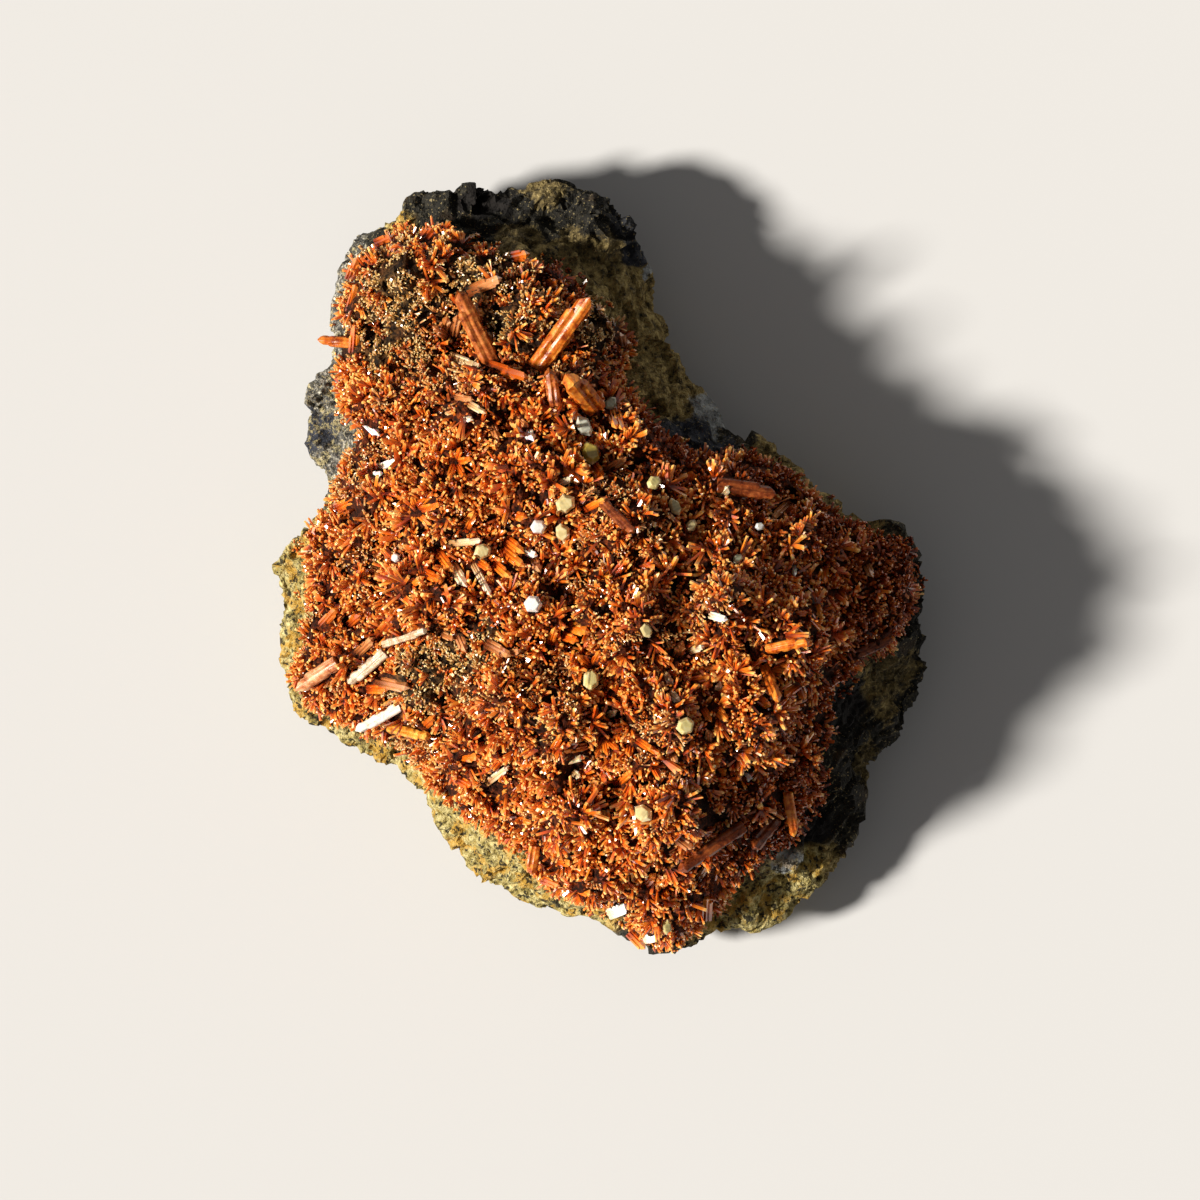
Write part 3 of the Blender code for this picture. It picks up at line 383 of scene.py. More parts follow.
# The crust of crocoite is thousands of small lead chromate prisms, grown together out of one
# dark red-brown layer on the rock. This is that layer, which shows between their feet.
LAYER_LEAST = 0.3 * MM
LAYER_SWELL = 1.25 * MM
LAYER_LUMPS = 0.35 * MM
LAYER_RUFFLE = 1.3 * MM  # how far the layer's edge wanders over the rock
UNDERSIDE_GAP = 0.95 * MM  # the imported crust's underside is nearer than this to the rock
# Hollows between the tufts of crystals, where the layer stays low and is painted dark as shade: (x, y,
# radius), as above.
HOLLOWS = [
    (-16.6, 24.7, 2.1), (-25.9, 26.3, 1.8), (-21, 34.7, 1.4), (-16.9, 31.9, 1.2), (0, 25, 1.8),
    (-3.7, 23.1, 1.4), (-11.4, 27.6, 1.4), (-6.8, 14.7, 1.4), (-12.7, 17.6, 1.4), (-5.1, 16.4, 1.8),
    (-7.9, 9.5, 1.8), (-7.5, 7, 1.6), (-11, 4, 1.8), (0.1, 1.4, 1.6), (1.7, 6.2, 1.8),
    (4.1, 11, 1.8), (-13, -0.9, 1.4), (-12, 4.3, 1.4), (-11.2, 1.6, 1.4), (-16.7, -2.6, 1.4),
    (-13.8, -5.5, 1.6), (-30.4, -8.5, 1.4), (-20.9, -13.2, 1.4), (0.5, -4.8, 1.6),
    (-7.5, -18.5, 1.4), (-2.1, -0.7, 1.4), (-3.2, -4.6, 1.6), (-1.4, -8.6, 1.4), (7.5, -6.2, 1.6),
    (2.3, -11.4, 1.4), (1.7, -16.8, 1.4), (-6.4, -19, 1.8), (-5.6, -15.1, 1.4), (-5.4, -7.9, 1.4),
    (5.9, -23.9, 1.8), (0.1, -27.1, 1.8), (14.5, -19.1, 2.3), (11.6, -26.8, 2.3),
    (13.5, -28.6, 2.3), (3, -28.6, 1.4), (7.8, -31.7, 1.6), (9.7, -33.2, 1.4), (16.3, -26.8, 2.3),
    (13.2, -0.2, 1.6), (9.3, -3.6, 1.6), (19.7, -3.3, 1.4), (22.7, -7.8, 1.8), (12.3, 5.2, 1.8),
    (17.5, 8.6, 1.8), (21.3, 7.7, 1.8), (12.8, -6.6, 1.4), (15.9, -9, 1.4), (11.6, -11.7, 1.4),
    (18.4, -15.3, 1.6), (4.6, 2.2, 1.4), (27.6, -14.1, 2.8), (24.7, -17, 2.8), (8.6, -2.1, 1.2),
    (-9.5, -2.6, 1.2), (-24.8, -15.3, 1.2), (-23.2, -10.1, 1.2), (4.6, -8.4, 1.2),
    (10.3, -22.2, 1.6), (-29.3, -3.8, 1.8), (-28.8, -6.4, 1.6),
]  # fmt: skip
# Where the crust is fine golden-brown sugar on black: (x, y, radius), as above.
GOLDEN = [(-22.4, 30.7, 8.5), (-9.8, 27.8, 5), (-0.6, 26.7, 3.5), (-18.4, -11.3, 6), (-21.9, -14.1, 3.5)]
GOLDEN += [(-13.8, -8.6, 3.5), (-15, 33.5, 5), (-26, 25, 4)]


def ragged(place):
    """A place moved a little, so that the edges of what is near it are uneven."""
    return place + noise.noise_vector(place / MM * 0.35) * 2.2 * MM


def swell(place):
    """How far the crust swells at a place, from 0 in a hollow to 1 on a crest."""
    at = Vector((place.x, place.y, 0)) / MM
    rise = 0.6 + 0.8 * noise.noise(at * 0.42) + 0.55 * noise.noise(at * 0.95 + Vector((4, 4, 4)))
    return min(1.0, max(0.0, rise)) * (1 - near(place, HOLLOWS))


bm = merged("crocoite_druse")
layer_golden = bm.verts.layers.float.new("golden")
layer_painted_hollow_shade = bm.verts.layers.float.new("hollow")
bm.normal_update()
upper = []
for face in bm.faces:
    middle = face.calc_center_median()
    below = rock_tree.ray_cast(middle, DOWN)[0]
    if face.normal.z > -0.1 or below is None or middle.z - below.z > UNDERSIDE_GAP:
        upper.append(face)
bmesh.ops.delete(bm, geom=upper, context="FACES")
left = set(bm.faces)
parts = []
while left:
    part = set()
    ahead = [left.pop()]
    while ahead:
        face = ahead.pop()
        part.add(face)
        beside = {f for e in face.edges for f in e.link_faces} & left
        left -= beside
        ahead += beside
    parts.append(part)
largest = max(parts, key=len)
bmesh.ops.delete(bm, geom=[face for face in bm.faces if face not in largest], context="FACES")
bmesh.ops.reverse_faces(bm, faces=bm.faces)
bmesh.ops.subdivide_edges(bm, edges=bm.edges, cuts=5, use_grid_fill=True)
bmesh.ops.triangulate(bm, faces=bm.faces)
for vert in bm.verts:
    if vert.is_boundary:
        ruffled = vert.co + noise.noise_vector(vert.co / MM * 0.7) * LAYER_RUFFLE
        vert.co = rock_tree.find_nearest(ruffled)[0]
bm.normal_update()
floor_of_layer = bm.faces[:]
raised = bmesh.ops.extrude_face_region(bm, geom=floor_of_layer)["geom"]
tops = [g for g in raised if isinstance(g, bmesh.types.BMVert)]
bm.normal_update()
for vert in tops:
    vert[layer_golden] = near(ragged(vert.co), GOLDEN)
    vert[layer_painted_hollow_shade] = 1 - swell(vert.co)
    rise = LAYER_LEAST + LAYER_SWELL * swell(vert.co) + LAYER_LUMPS * noise.noise(vert.co / MM * 1.9)
    edge = 0.5 if any(e.is_boundary for e in vert.link_edges) else 1.0
    vert.co.z += edge * rise / max(0.6, vert.normal.z)
bmesh.ops.recalc_face_normals(bm, faces=bm.faces)

dark_layer = Finish("crocoite_layer")
mottle = dark_layer.grain(0.6 * MM, 4)
red = dark_layer.ramp(
    mottle, (0.36, (0.010, 0.003, 0.001)), (0.52, (0.070, 0.011, 0.002)), (0.68, (0.26, 0.050, 0.007))
)
black = dark_layer.ramp(mottle, (0.42, (0.010, 0.006, 0.003)), (0.68, (0.15, 0.075, 0.022)))
layer_colour = dark_layer.mix(dark_layer.mark("golden"), red, black)
# Painted shade: the layer turns near black in its hollows.
layer_colour = dark_layer.mix(dark_layer.mark("hollow") * 0.85, layer_colour, (0.010, 0.003, 0.001))
dark_layer.set(Base_Color=layer_colour, Roughness=0.8, Specular_IOR_Level=0.15)
dark_layer.relief(dark_layer.grain(0.3 * MM, 3, shift=0.4), 0.4 * MM)
layer = piece_of("crocoite_layer", bm, dark_layer, "crocoite", "crocoite_druse")

# The small crocoite crystals: four-sided prisms with slanting ends, most of them under 2 mm long,
# in tufts and fans that grow out of the layer. Some are bright orange, some tan or dark red.


def crystal_shape(length, cuts):
    """A prism 1 wide and this long with a rhombic section, its end cut by slanting planes."""
    bm = bmesh.new()
    bmesh.ops.create_cone(bm, cap_ends=True, segments=4, radius1=0.5, radius2=0.5, depth=length)
    bmesh.ops.translate(bm, verts=bm.verts, vec=(0, 0, length / 2))
    bmesh.ops.scale(bm, vec=(1, 0.78, 1), verts=bm.verts)
    for drop, lean, turn in cuts:
        slope = Vector((math.sin(lean) * math.cos(turn), math.sin(lean) * math.sin(turn), math.cos(lean)))
        geom = bm.verts[:] + bm.edges[:] + bm.faces[:]
        cut = bmesh.ops.bisect_plane(
            bm, geom=geom, plane_co=(0, 0, length - drop), plane_no=slope, clear_outer=True
        )["geom_cut"]
        edges = [g for g in cut if isinstance(g, bmesh.types.BMEdge)]
        bmesh.ops.contextual_create(bm, geom=edges)
    foot = [f for f in bm.faces if f.normal.z < -0.9]
    bmesh.ops.delete(bm, geom=foot, context="FACES_ONLY")
    mesh = bpy.data.meshes.new("crystal")
    bm.to_mesh(mesh)
    bm.free()
    return mesh


ROOF = [(0.0, 0.8, 0.0), (0.05, -0.7, 0.0)]
SLANT = [(0.2, 0.65, 0.8)]
BROKEN = [(0.1, 0.2, 2.2), (0.0, 0.75, 0.5)]
PROPORTIONS = (2.4, 3.8, 6.0)  # length over width
shapes = {length: [crystal_shape(length, cuts) for cuts in (ROOF, SLANT, BROKEN)] for length in PROPORTIONS}


def scattered(name, crystals, finish, slot):
    """One piece with all of these crystals, with the height along each kept for its colour."""
    points = []
    faces = []
    tints = []
    heights = []
    total = 0
    for number, (foot, axis, spin, length, width, tint) in enumerate(crystals):
        proportion = min(PROPORTIONS, key=lambda p: abs(math.log(p * width / length)))
        shape = shapes[proportion][number % 3]
        turn = axis.to_track_quat("Z", "Y") @ Quaternion((0, 0, 1), spin)
        own = np.array([v.co for v in shape.vertices]) * (width, width, length / proportion)
        points.append(own @ np.array(turn.to_matrix()).T + np.array(foot))
        faces += [[total + i for i in p.vertices] for p in shape.polygons]
        tints.append(np.full(len(own), tint))
        heights.append(own[:, 2] / length)
        total += len(own)
    mesh = bpy.data.meshes.new(name)
    mesh.from_pydata(np.concatenate(points), [], faces)
    mesh.attributes.new("tint", "FLOAT", "POINT").data.foreach_set("value", np.concatenate(tints))
    mesh.attributes.new("up", "FLOAT", "POINT").data.foreach_set("value", np.concatenate(heights))
    return dressed(name, mesh, finish, slot)


def leaning(normal, lean, heading):
    """A direction that leans from normal by the tangent lean, towards heading."""
    aside = Quaternion(normal, heading) @ normal.orthogonal().normalized()
    return (normal + aside * lean).normalized()


rng = random.Random(21)

# The larger of them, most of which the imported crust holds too: (x, y of the foot, x, y of the tip,
# width), in millimetres.
LISTED = {
    "orange": [
        (18.7, -11.1, 21.4, -11.7, 0.7), (22, -12.9, 20.8, -14.8, 0.8),
        (22.2, -13.2, 23.4, -15.2, 0.8), (17.3, -15.5, 19.5, -16, 0.8), (23.8, -4.5, 25.3, -6, 0.7),
        (22.4, -1.4, 24.6, -2, 0.6), (21.5, -6.1, 23.8, -5.2, 0.6), (8.9, 0.2, 9.5, 1.7, 0.7),
        (10.6, 9, 10.6, 11, 1), (25, 0.2, 25.7, -1.9, 0.7), (12.8, -16, 14.4, -17.5, 0.6),
        (11.6, -16, 12.6, -17.6, 0.6), (10, -13.7, 12.7, -12.5, 0.7), (17, -5.6, 18.4, -6.2, 0.7),
        (-22.5, -2.6, -23, -1.2, 0.8), (-21.7, -2.4, -20, -1.2, 0.7), (-22, -2.9, -21, -4.5, 0.7),
        (-19.7, -1, -18, -1.6, 0.8), (-15.9, 4.7, -14.3, 6.2, 0.9), (-10.3, 2.9, -8.7, 1.6, 0.9),
        (-18.1, 2.1, -16.7, -0.6, 0.8), (-3.2, -6.7, -1.3, -7.4, 1), (-4.5, -7.5, -2.4, -8.4, 0.8),
        (-5, -20.1, -4.4, -19, 0.6), (-15.9, -21.2, -13.8, -21.7, 0.9),
        (-2.1, -19.7, -4.4, -21, 0.7), (0, -19, -0.5, -21.8, 0.6), (0.1, -19, 0.9, -21.6, 0.6),
        (0.2, -18.9, 2.1, -20.8, 0.6), (8.9, -20.5, 10.9, -19.7, 0.7),
        (12.5, -23.3, 14.5, -23.1, 0.8), (7, -33, 8.6, -34.2, 0.7), (11.5, -39.9, 12.3, -37.6, 1),
        (12.5, -40.1, 13.5, -38.1, 0.9), (12.5, -36.2, 13.5, -34.7, 0.7),
        (-0.2, -39.4, 0.2, -40.9, 0.8), (1.3, -40.6, 3.1, -42, 0.8), (3.8, -41.3, 5.3, -44.1, 0.8),
        (3.4, -41.7, 4.4, -43.5, 0.7), (8.7, -42.4, 9.3, -43.8, 0.7),
        (-26.2, -13.5, -24.3, -14, 0.8), (-15.6, -23.5, -14.5, -25.1, 0.9),
        (-5.5, 11.5, -2.1, 9.2, 0.8), (-1.3, 10.9, 0.3, 10.1, 1), (-1.6, 6.7, 0.8, 7.8, 0.6),
        (-0.7, 18.2, -0.2, 20.2, 0.6), (0.3, 17.8, 1.8, 15.8, 0.8), (1, 18.1, 2.5, 15.6, 0.8),
        (-9.5, 6.6, -8.4, 5.6, 0.9), (-13.6, 0.3, -12.4, -0.3, 0.7), (-10.8, 1.3, -8.7, 0.1, 0.9),
        (-11.6, -0.1, -10.2, -1.2, 0.8), (-16.3, 11.6, -17, 13.2, 0.6),
        (-16.2, 11.6, -15.9, 13.5, 0.6), (-16.6, 11.4, -18.1, 12.1, 0.6),
        (-16.4, 11.2, -17.2, 9.8, 0.6), (-16.2, 11.2, -15.2, 9.8, 0.6),
        (-16.1, 11.5, -14.6, 12.3, 0.6), (-20.1, 6.8, -21.5, 8.1, 0.6), (-20, 6.6, -22, 6.2, 0.6),
        (-19.9, 7, -18.9, 8.6, 0.6), (-19.8, 6.6, -18.1, 7.1, 0.6), (-20, 6.3, -19.1, 4.7, 0.6),
        (-20.1, 6.6, -21.2, 4.9, 0.6), (-29.4, 6.7, -27.9, 7.9, 0.7), (-31.1, 6.6, -29.8, 5.8, 0.7),
        (-27.7, 25.1, -28.1, 27.6, 0.9), (4.7, 8.3, 5.8, 7.6, 0.7), (5, -19.4, 6, -20.8, 0.7),
        (4.1, -20.1, 3.3, -21.6, 0.7), (5.5, -19.7, 6.9, -21.3, 0.6), (2.3, -24.5, 3.7, -23.1, 0.7),
        (4.6, -26.5, 5.5, -28.2, 0.7), (-4.6, -32.8, -3.2, -33.9, 0.7),
        (-6, -35.1, -4.6, -36.5, 0.8), (-2.3, -36, -0.9, -37.5, 0.8), (4.9, -36, 6.3, -35.1, 0.8),
        (6.9, -36.6, 7.8, -38.2, 0.8), (-9.2, -28.2, -7.6, -29.3, 0.6),
        (-11.8, -26.8, -10.6, -25.4, 0.6), (-1.2, -26.8, 0.2, -25.6, 0.6),
        (-7.4, -15.9, -8.7, -15, 0.6), (-12.7, -15.3, -11.2, -16.1, 0.6),
        (-10.9, -4.9, -12.3, -3.8, 0.7), (-6, -8.4, -5.1, -7, 0.7),
    ],
    "red": [
        (-27.3, 36.6, -25.3, 37.8, 0.9), (-25.1, 36.5, -23.6, 38, 0.9),
        (-19.7, 36.8, -19.1, 38.9, 1), (-28, 33.1, -27.8, 35.5, 0.8),
        (-28.1, 29.5, -27.9, 32.7, 0.7), (-25.1, -8.1, -23.3, -5.2, 0.9),
        (-31.6, -7.1, -30.1, -4.7, 0.8), (-28.7, -7, -27.4, -5.4, 0.7),
        (-20.9, -18.9, -18.7, -16.9, 0.8), (-34.4, -14.1, -33.4, -16.8, 1),
        (13.1, -16, 14.6, -17.5, 0.7), (25.8, -10.3, 26.9, -10.1, 0.9),
        (-6.5, 31.7, -4.8, 32.8, 0.9), (-6.8, 34.6, -5.5, 32.7, 0.9), (-10.1, 34.8, -8.1, 35.8, 1),
        (-13.3, 22.5, -8.1, 21.4, 1), (-18.5, -3.8, -19.1, -5.3, 0.8),
        (-1.2, -11.5, -2.5, -10.1, 0.8), (-0.9, -11.2, 0, -9.5, 0.6),
        (-29.3, -9.1, -30.7, -10.1, 0.8), (-20.7, -26.8, -19.4, -28.2, 0.9),
        (-18.2, -25.6, -17.2, -27.1, 0.8), (26.7, -2.9, 28.3, -3.8, 0.7),
        (16, -19.9, 17.6, -20.8, 0.7), (19.6, -20.8, 21.2, -21.6, 0.7),
    ],
    "brown": [
        (-12.2, -8.6, -10.2, -10.1, 0.9), (-15.9, -7.1, -15.2, -9.8, 0.8),
        (-18, -6.8, -16.6, -8.3, 0.6), (-27.7, -9.8, -25.9, -8.1, 0.8),
        (-14.5, 31.6, -11.3, 32.9, 1), (-18.4, 27.3, -17.4, 28.6, 0.9), (-17, 27, -16.3, 28.8, 0.9),
        (-17.7, 26.6, -19.1, 27.5, 0.8), (1.5, 25.6, 2.3, 26.8, 0.9), (2, 25.3, 3.2, 26, 0.9),
        (0, 27, 0.8, 28.2, 0.7), (-10.3, -10.1, -9, -9.5, 0.6), (-24.6, -12.8, -21.6, -13.8, 1),
        (8.7, -30, 10.6, -32.2, 0.9), (17, -31.7, 18.4, -30.7, 0.9), (8.4, -10.1, 9.3, -8.6, 0.9),
        (0, 30.7, 1.4, 29.8, 0.7), (0.6, 10.1, 3.1, 12.5, 0.7), (-9.7, 16.9, -8.1, 15.9, 0.6),
        (-16.3, 19.2, -14.4, 19, 0.6), (-12.7, 16.6, -11.6, 14.6, 0.7),
        (10.7, -35.1, 12.2, -34.2, 0.6), (-8.1, 1, -6.8, -0.6, 0.8), (8.1, -20.5, 8.7, -22.2, 0.7),
        (22.9, 3.8, 24.5, 4.4, 0.7), (8.6, 3, 11.3, 3.2, 0.8), (21.4, 6.6, 19.6, 5.4, 0.7),
        (29.9, 0.2, 31.3, -1.3, 0.7), (11.5, -19.7, 12.2, -18.6, 0.6),
    ],
    "pale": [
        (-16.8, 23.3, -13.6, 22.7, 0.8), (-17.2, 3.2, -13.2, 3, 0.6),
        (-16.7, -0.6, -15.1, -2.4, 0.9), (-14.3, 0.1, -12.3, -3.5, 0.6),
        (9.9, -9.4, 11.7, -9.1, 0.6), (-5, 9.4, -3.2, 10.1, 0.6), (13.2, -15, 13.7, -13.1, 0.6),
        (13.6, 7.5, 14.7, 9.2, 0.8), (-12.7, -24, -10.3, -22.7, 0.6), (-3.7, -23, -2.2, -24, 0.6),
        (-4, -21.4, -1.6, -21.5, 0.6), (6.8, -12.7, 8.3, -13.3, 0.7), (7.6, -15, 9.1, -15.4, 0.7),
        (-14.5, 18.3, -13.1, 17.5, 0.6), (-15.5, 17.4, -14.4, 16.7, 0.6),
        (25.6, -26.2, 27.4, -26.7, 0.7), (27.7, -26.5, 29.4, -26.9, 0.7),
        (0.7, -16.9, 1.8, -16.4, 0.6),
    ],
    # Painted highlights: these crystals are coloured white all over, for glints of the light on them.
    "white": [
        (-34.8, -13.3, -34.4, -15.2, 0.7), (-26.2, 17, -25.2, 15, 0.8),
        (-26, 9.7, -24.8, 10.7, 0.6), (-24.8, 10.7, -23.2, 12.2, 0.6),
        (15.6, -23.6, 17.4, -24.2, 0.7), (21.3, 0, 22.2, -1, 0.7), (-8.7, 1.3, -7.1, 1.2, 0.7),
        (9.9, -37.7, 10, -38.9, 0.7), (-15.2, -28.6, -13.8, -30, 0.7), (1, -38.9, 3.3, -38.9, 1),
        (5.3, -41.9, 6.7, -42.4, 0.9), (-8.1, 15.4, -7.6, 14.5, 0.9), (13, -5.4, 14.3, -6, 0.7),
    ],
}  # fmt: skip
ROOT = 1.1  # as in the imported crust, in millimetres
TIP_RISE = 3.0
STEEPEST = 2.0
listed_kinds = {look: [] for look in LISTED}


def ground(x, y):
    """The rock's height at (x, y), in millimetres."""
    place = seen_from_above(rock_tree, x, y)[0]
    return place.z / MM if place else 0.0


# A crystal and the two that grow beside it: (aside and down in widths, share of its length and of
# its width).
BUNDLE = ((0, 0, 1, 1), (0.45, 0.1, 0.8, 0.55), (-0.4, 0.15, 0.65, 0.5))
for look, crystals in LISTED.items():
    for x, y, tip_x, tip_y, width in crystals:
        over = seen_from_above(crust_tree, x, y)[0]
        if over is None or over.z / MM < ground(x, y):
            continue
        fall = Vector((ground(x - 1, y) - ground(x + 1, y), ground(x, y - 1) - ground(x, y + 1), 2))
        foot = Vector((x, y, ground(x, y))) + fall.normalized() * ROOT
        run = Vector((tip_x, tip_y)) - foot.xy
        slope = 0.0
        for share in (0.5, 0.75, 1.0):
            above = ground(*(foot.xy + run * share)) + TIP_RISE * (0.5 + 0.5 * share)
            slope = max(slope, (above - foot.z) / (run.length * share))
        whole = Vector((*run, min(slope, STEEPEST) * run.length))
        axis = whole.normalized()
        side = axis.cross(Vector((0, 0, 1))).normalized()
        length = whole.length * MM
        for offset, drop, share, part in BUNDLE:
            start = foot * MM + (side * offset - axis.cross(side) * drop) * width * MM
            reach = length * share * rng.uniform(0.9, 1.0)
            spin = rng.uniform(-0.3, 0.3)
            listed_kinds[look].append((start, axis, spin, reach, width * part * MM, rng.random()))


def crocoite(name, shaded_feet, middles, tips_and_highlights, roughness, glow, shine=0.5):
    """Glassy crocoite: deep red at the foot of a crystal, which is painted shade among the crowded feet,
    and paler at its tip, partly its own colour and partly a painted highlight.
    """
    finish = Finish(name)
    tint = finish.mark("tint")
    patch = finish.grain(2.5 * MM, 3)
    up = finish.mark("up")
    foot = finish.ramp(tint, (0, shaded_feet[0]), (1, shaded_feet[1]))
    middle = finish.ramp(tint, (0, middles[0]), (0.5, middles[1]), (1, middles[2]))
    tip = finish.ramp(tint, (0, tips_and_highlights[0]), (1, tips_and_highlights[1]))
    # Painted shade: darker towards the foot.
    colour = finish.mix(finish.step(up, 0.1, 0.6), foot, middle)
    # Painted highlight in part: paler towards the tip.
    colour = finish.mix(finish.step(up + (patch - 0.5) * 0.6, 0.65, 1.05), colour, tip)
    finish.set(Base_Color=colour, Roughness=roughness + (patch - 0.5) * 0.2, IOR=2.0)
    finish.set(Subsurface_Weight=glow, Subsurface_Radius=(1.0, 0.3, 0.06), Subsurface_Scale=0.4 * MM)
    finish.set(Specular_IOR_Level=shine)
    return finish


# Each kind of crystal's colours, from its darkest to its palest crystal.
CRYSTAL_LOOKS = {
    "bright": {
        "shaded_feet": ((0.14, 0.012, 0.002), (0.28, 0.034, 0.004)),
        "middles": ((0.50, 0.058, 0.004), (0.68, 0.130, 0.007), (0.78, 0.240, 0.020)),
        "tips_and_highlights": ((0.84, 0.265, 0.018), (0.96, 0.620, 0.190)),
        "roughness": 0.27,
        "glow": 0.15,
    },
    "young": {
        "shaded_feet": ((0.10, 0.010, 0.002), (0.18, 0.022, 0.003)),
        "middles": ((0.36, 0.038, 0.003), (0.48, 0.070, 0.005), (0.60, 0.120, 0.008)),
        "tips_and_highlights": ((0.62, 0.130, 0.008), (0.78, 0.300, 0.040)),
        "roughness": 0.24,
        "glow": 0.1,
    },
    "tan": {
        "shaded_feet": ((0.08, 0.014, 0.003), (0.16, 0.03, 0.006)),
        "middles": ((0.44, 0.120, 0.018), (0.60, 0.230, 0.045), (0.70, 0.360, 0.110)),
        "tips_and_highlights": ((0.72, 0.360, 0.085), (0.90, 0.690, 0.360)),
        "roughness": 0.3,
        "glow": 0.12,
    },
    "golden": {
        "shaded_feet": ((0.03, 0.010, 0.003), (0.08, 0.030, 0.007)),
        "middles": ((0.34, 0.130, 0.022), (0.48, 0.230, 0.050), (0.60, 0.350, 0.100)),
        "tips_and_highlights": ((0.64, 0.380, 0.110), (0.88, 0.720, 0.400)),
        "roughness": 0.26,
        "glow": 0.08,
    },
    # Partly dark red crystals, partly painted shade: this look goes in the hollows and where the crust lies
    # in shade.
    "dark": {
        "shaded_feet": ((0.03, 0.003, 0.001), (0.07, 0.008, 0.002)),
        "middles": ((0.13, 0.015, 0.002), (0.24, 0.034, 0.004), (0.38, 0.075, 0.010)),
        "tips_and_highlights": ((0.34, 0.055, 0.006), (0.56, 0.180, 0.040)),
        "roughness": 0.16,
        "glow": 0.12,
        "shine": 0.25,
    },
    "orange": {
        "shaded_feet": ((0.24, 0.025, 0.003), (0.36, 0.05, 0.006)),
        "middles": ((0.62, 0.090, 0.005), (0.72, 0.150, 0.008), (0.78, 0.230, 0.020)),
        "tips_and_highlights": ((0.76, 0.170, 0.010), (0.90, 0.440, 0.100)),
        "roughness": 0.16,
        "glow": 0.25,
    },
    "red": {
        "shaded_feet": ((0.14, 0.014, 0.002), (0.22, 0.025, 0.003)),
        "middles": ((0.38, 0.050, 0.003), (0.48, 0.085, 0.005), (0.58, 0.130, 0.008)),
        "tips_and_highlights": ((0.54, 0.100, 0.006), (0.72, 0.250, 0.035)),
        "roughness": 0.2,
        "glow": 0.1,
    },
    "brown": {
        "shaded_feet": ((0.12, 0.03, 0.007), (0.20, 0.05, 0.012)),
        "middles": ((0.36, 0.110, 0.026), (0.48, 0.170, 0.050), (0.56, 0.230, 0.085)),
        "tips_and_highlights": ((0.50, 0.180, 0.050), (0.68, 0.360, 0.170)),
        "roughness": 0.22,
        "glow": 0.2,
    },
    "pale": {
        "shaded_feet": ((0.36, 0.16, 0.05), (0.46, 0.24, 0.09)),
        "middles": ((0.60, 0.400, 0.190), (0.70, 0.520, 0.300), (0.78, 0.640, 0.440)),
        "tips_and_highlights": ((0.76, 0.600, 0.380), (0.88, 0.800, 0.660)),
        "roughness": 0.18,
        "glow": 0.2,
    },
    # Painted highlight: near white, the colour of a glint of the light, over whole crystals.
    "white": {
        "shaded_feet": ((0.70, 0.52, 0.34), (0.78, 0.62, 0.44)),
        "middles": ((0.90, 0.840, 0.740), (0.93, 0.900, 0.840), (0.95, 0.940, 0.900)),
        "tips_and_highlights": ((0.95, 0.920, 0.860), (0.96, 0.950, 0.930)),
        "roughness": 0.12,
        "glow": 0.3,
    },
}
PIECE_CRYSTALS = 11000  # which keeps a piece under 200,000 triangles


def crystal_pieces(kinds):
    """Makes the crystals of each kind pieces of one look, none of them too large."""
    pieces = []
    for name, crystals in kinds.items():
        finish = crocoite("crocoite_" + name, **CRYSTAL_LOOKS[name])
        count = math.ceil(len(crystals) / PIECE_CRYSTALS)
        for i in range(count):
            pieces.append(scattered(f"crystals_{name}_{i}", crystals[i::count], finish, "crocoite"))
    return pieces


listed_pieces = crystal_pieces(listed_kinds)
large_names = [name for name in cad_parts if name.startswith(("crocoite_prism", "cerussite"))]
large_meshes = [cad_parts[name].data for name in large_names]
large_tree = tree_of(*large_meshes, *[piece.data for piece in listed_pieces])
CLEARANCE = 0.22 * MM  # between a small crystal and a large one
SHADOW_DEPTH = 2.5 * MM  # a small crystal hides a large one that is this close under it


def clear_of_large(foot, axis, length, shares):
    """Whether a crystal, at these shares of its length, neither touches nor hides a large one."""
    for share in shares:
        point = foot + axis * length * share
        if large_tree.find_nearest(point, CLEARANCE)[0]:
            return False
        if large_tree.ray_cast(point, DOWN, SHADOW_DEPTH)[0]:
            return False
    return True


layer_tree = tree_of(layer.data)
kinds = {"bright": [], "tan": [], "golden": [], "dark": [], "young": []}

# Where the crust is tan and sugary, and where its crystals are dark red, partly their own colour and partly
# painted shade where the crust lies in shade: (x, y, radius) as above.
SUGARY = [(-22, 28, 9), (-12, 32, 8), (-2, 25, 7), (-14, 21, 5), (-16, -12, 8), (-4, 0, 7), (5, 3, 6)]
SUGARY += [(0, 8, 5), (-5, -14, 7), (5, -9, 6), (8, -20, 6), (-18, 23, 7), (-2, -22, 5), (12, -4, 5)]
SUGARY += [(-22, 21, 7), (-8, 24, 6), (1, 22, 5), (-28, 11, 6), (-25, 2, 5), (-30, -9, 5), (-20, -20, 5)]
DARK_RED_AND_SHADE = [(30, 0, 8), (33, -3, 7), (26, 4, 7), (18, 9, 8), (24, -18, 7), (24, -26, 8), (10, 12, 5)]
DARK_RED_AND_SHADE += [(-4, 33, 3.5), (3, 27, 3.5), (6, 19, 3.5), (19, -30, 7), (29, -8, 6), (14, -34, 6)]
DARK_RED_AND_SHADE += [(28, -13, 6), (15, 10, 6), (6, 14, 4), (34, 1, 6)]
SPACING = 1.1  # from one tuft to the next, in millimetres
AROUND = ((1.8, 0), (-1.8, 0), (0, 1.8), (0, -1.8))  # a tuft is inside if the layer is there too
LOW = 0.2  # the swell under which the layer is a hollow
EMPTY = 0.65  # of the places in hollows
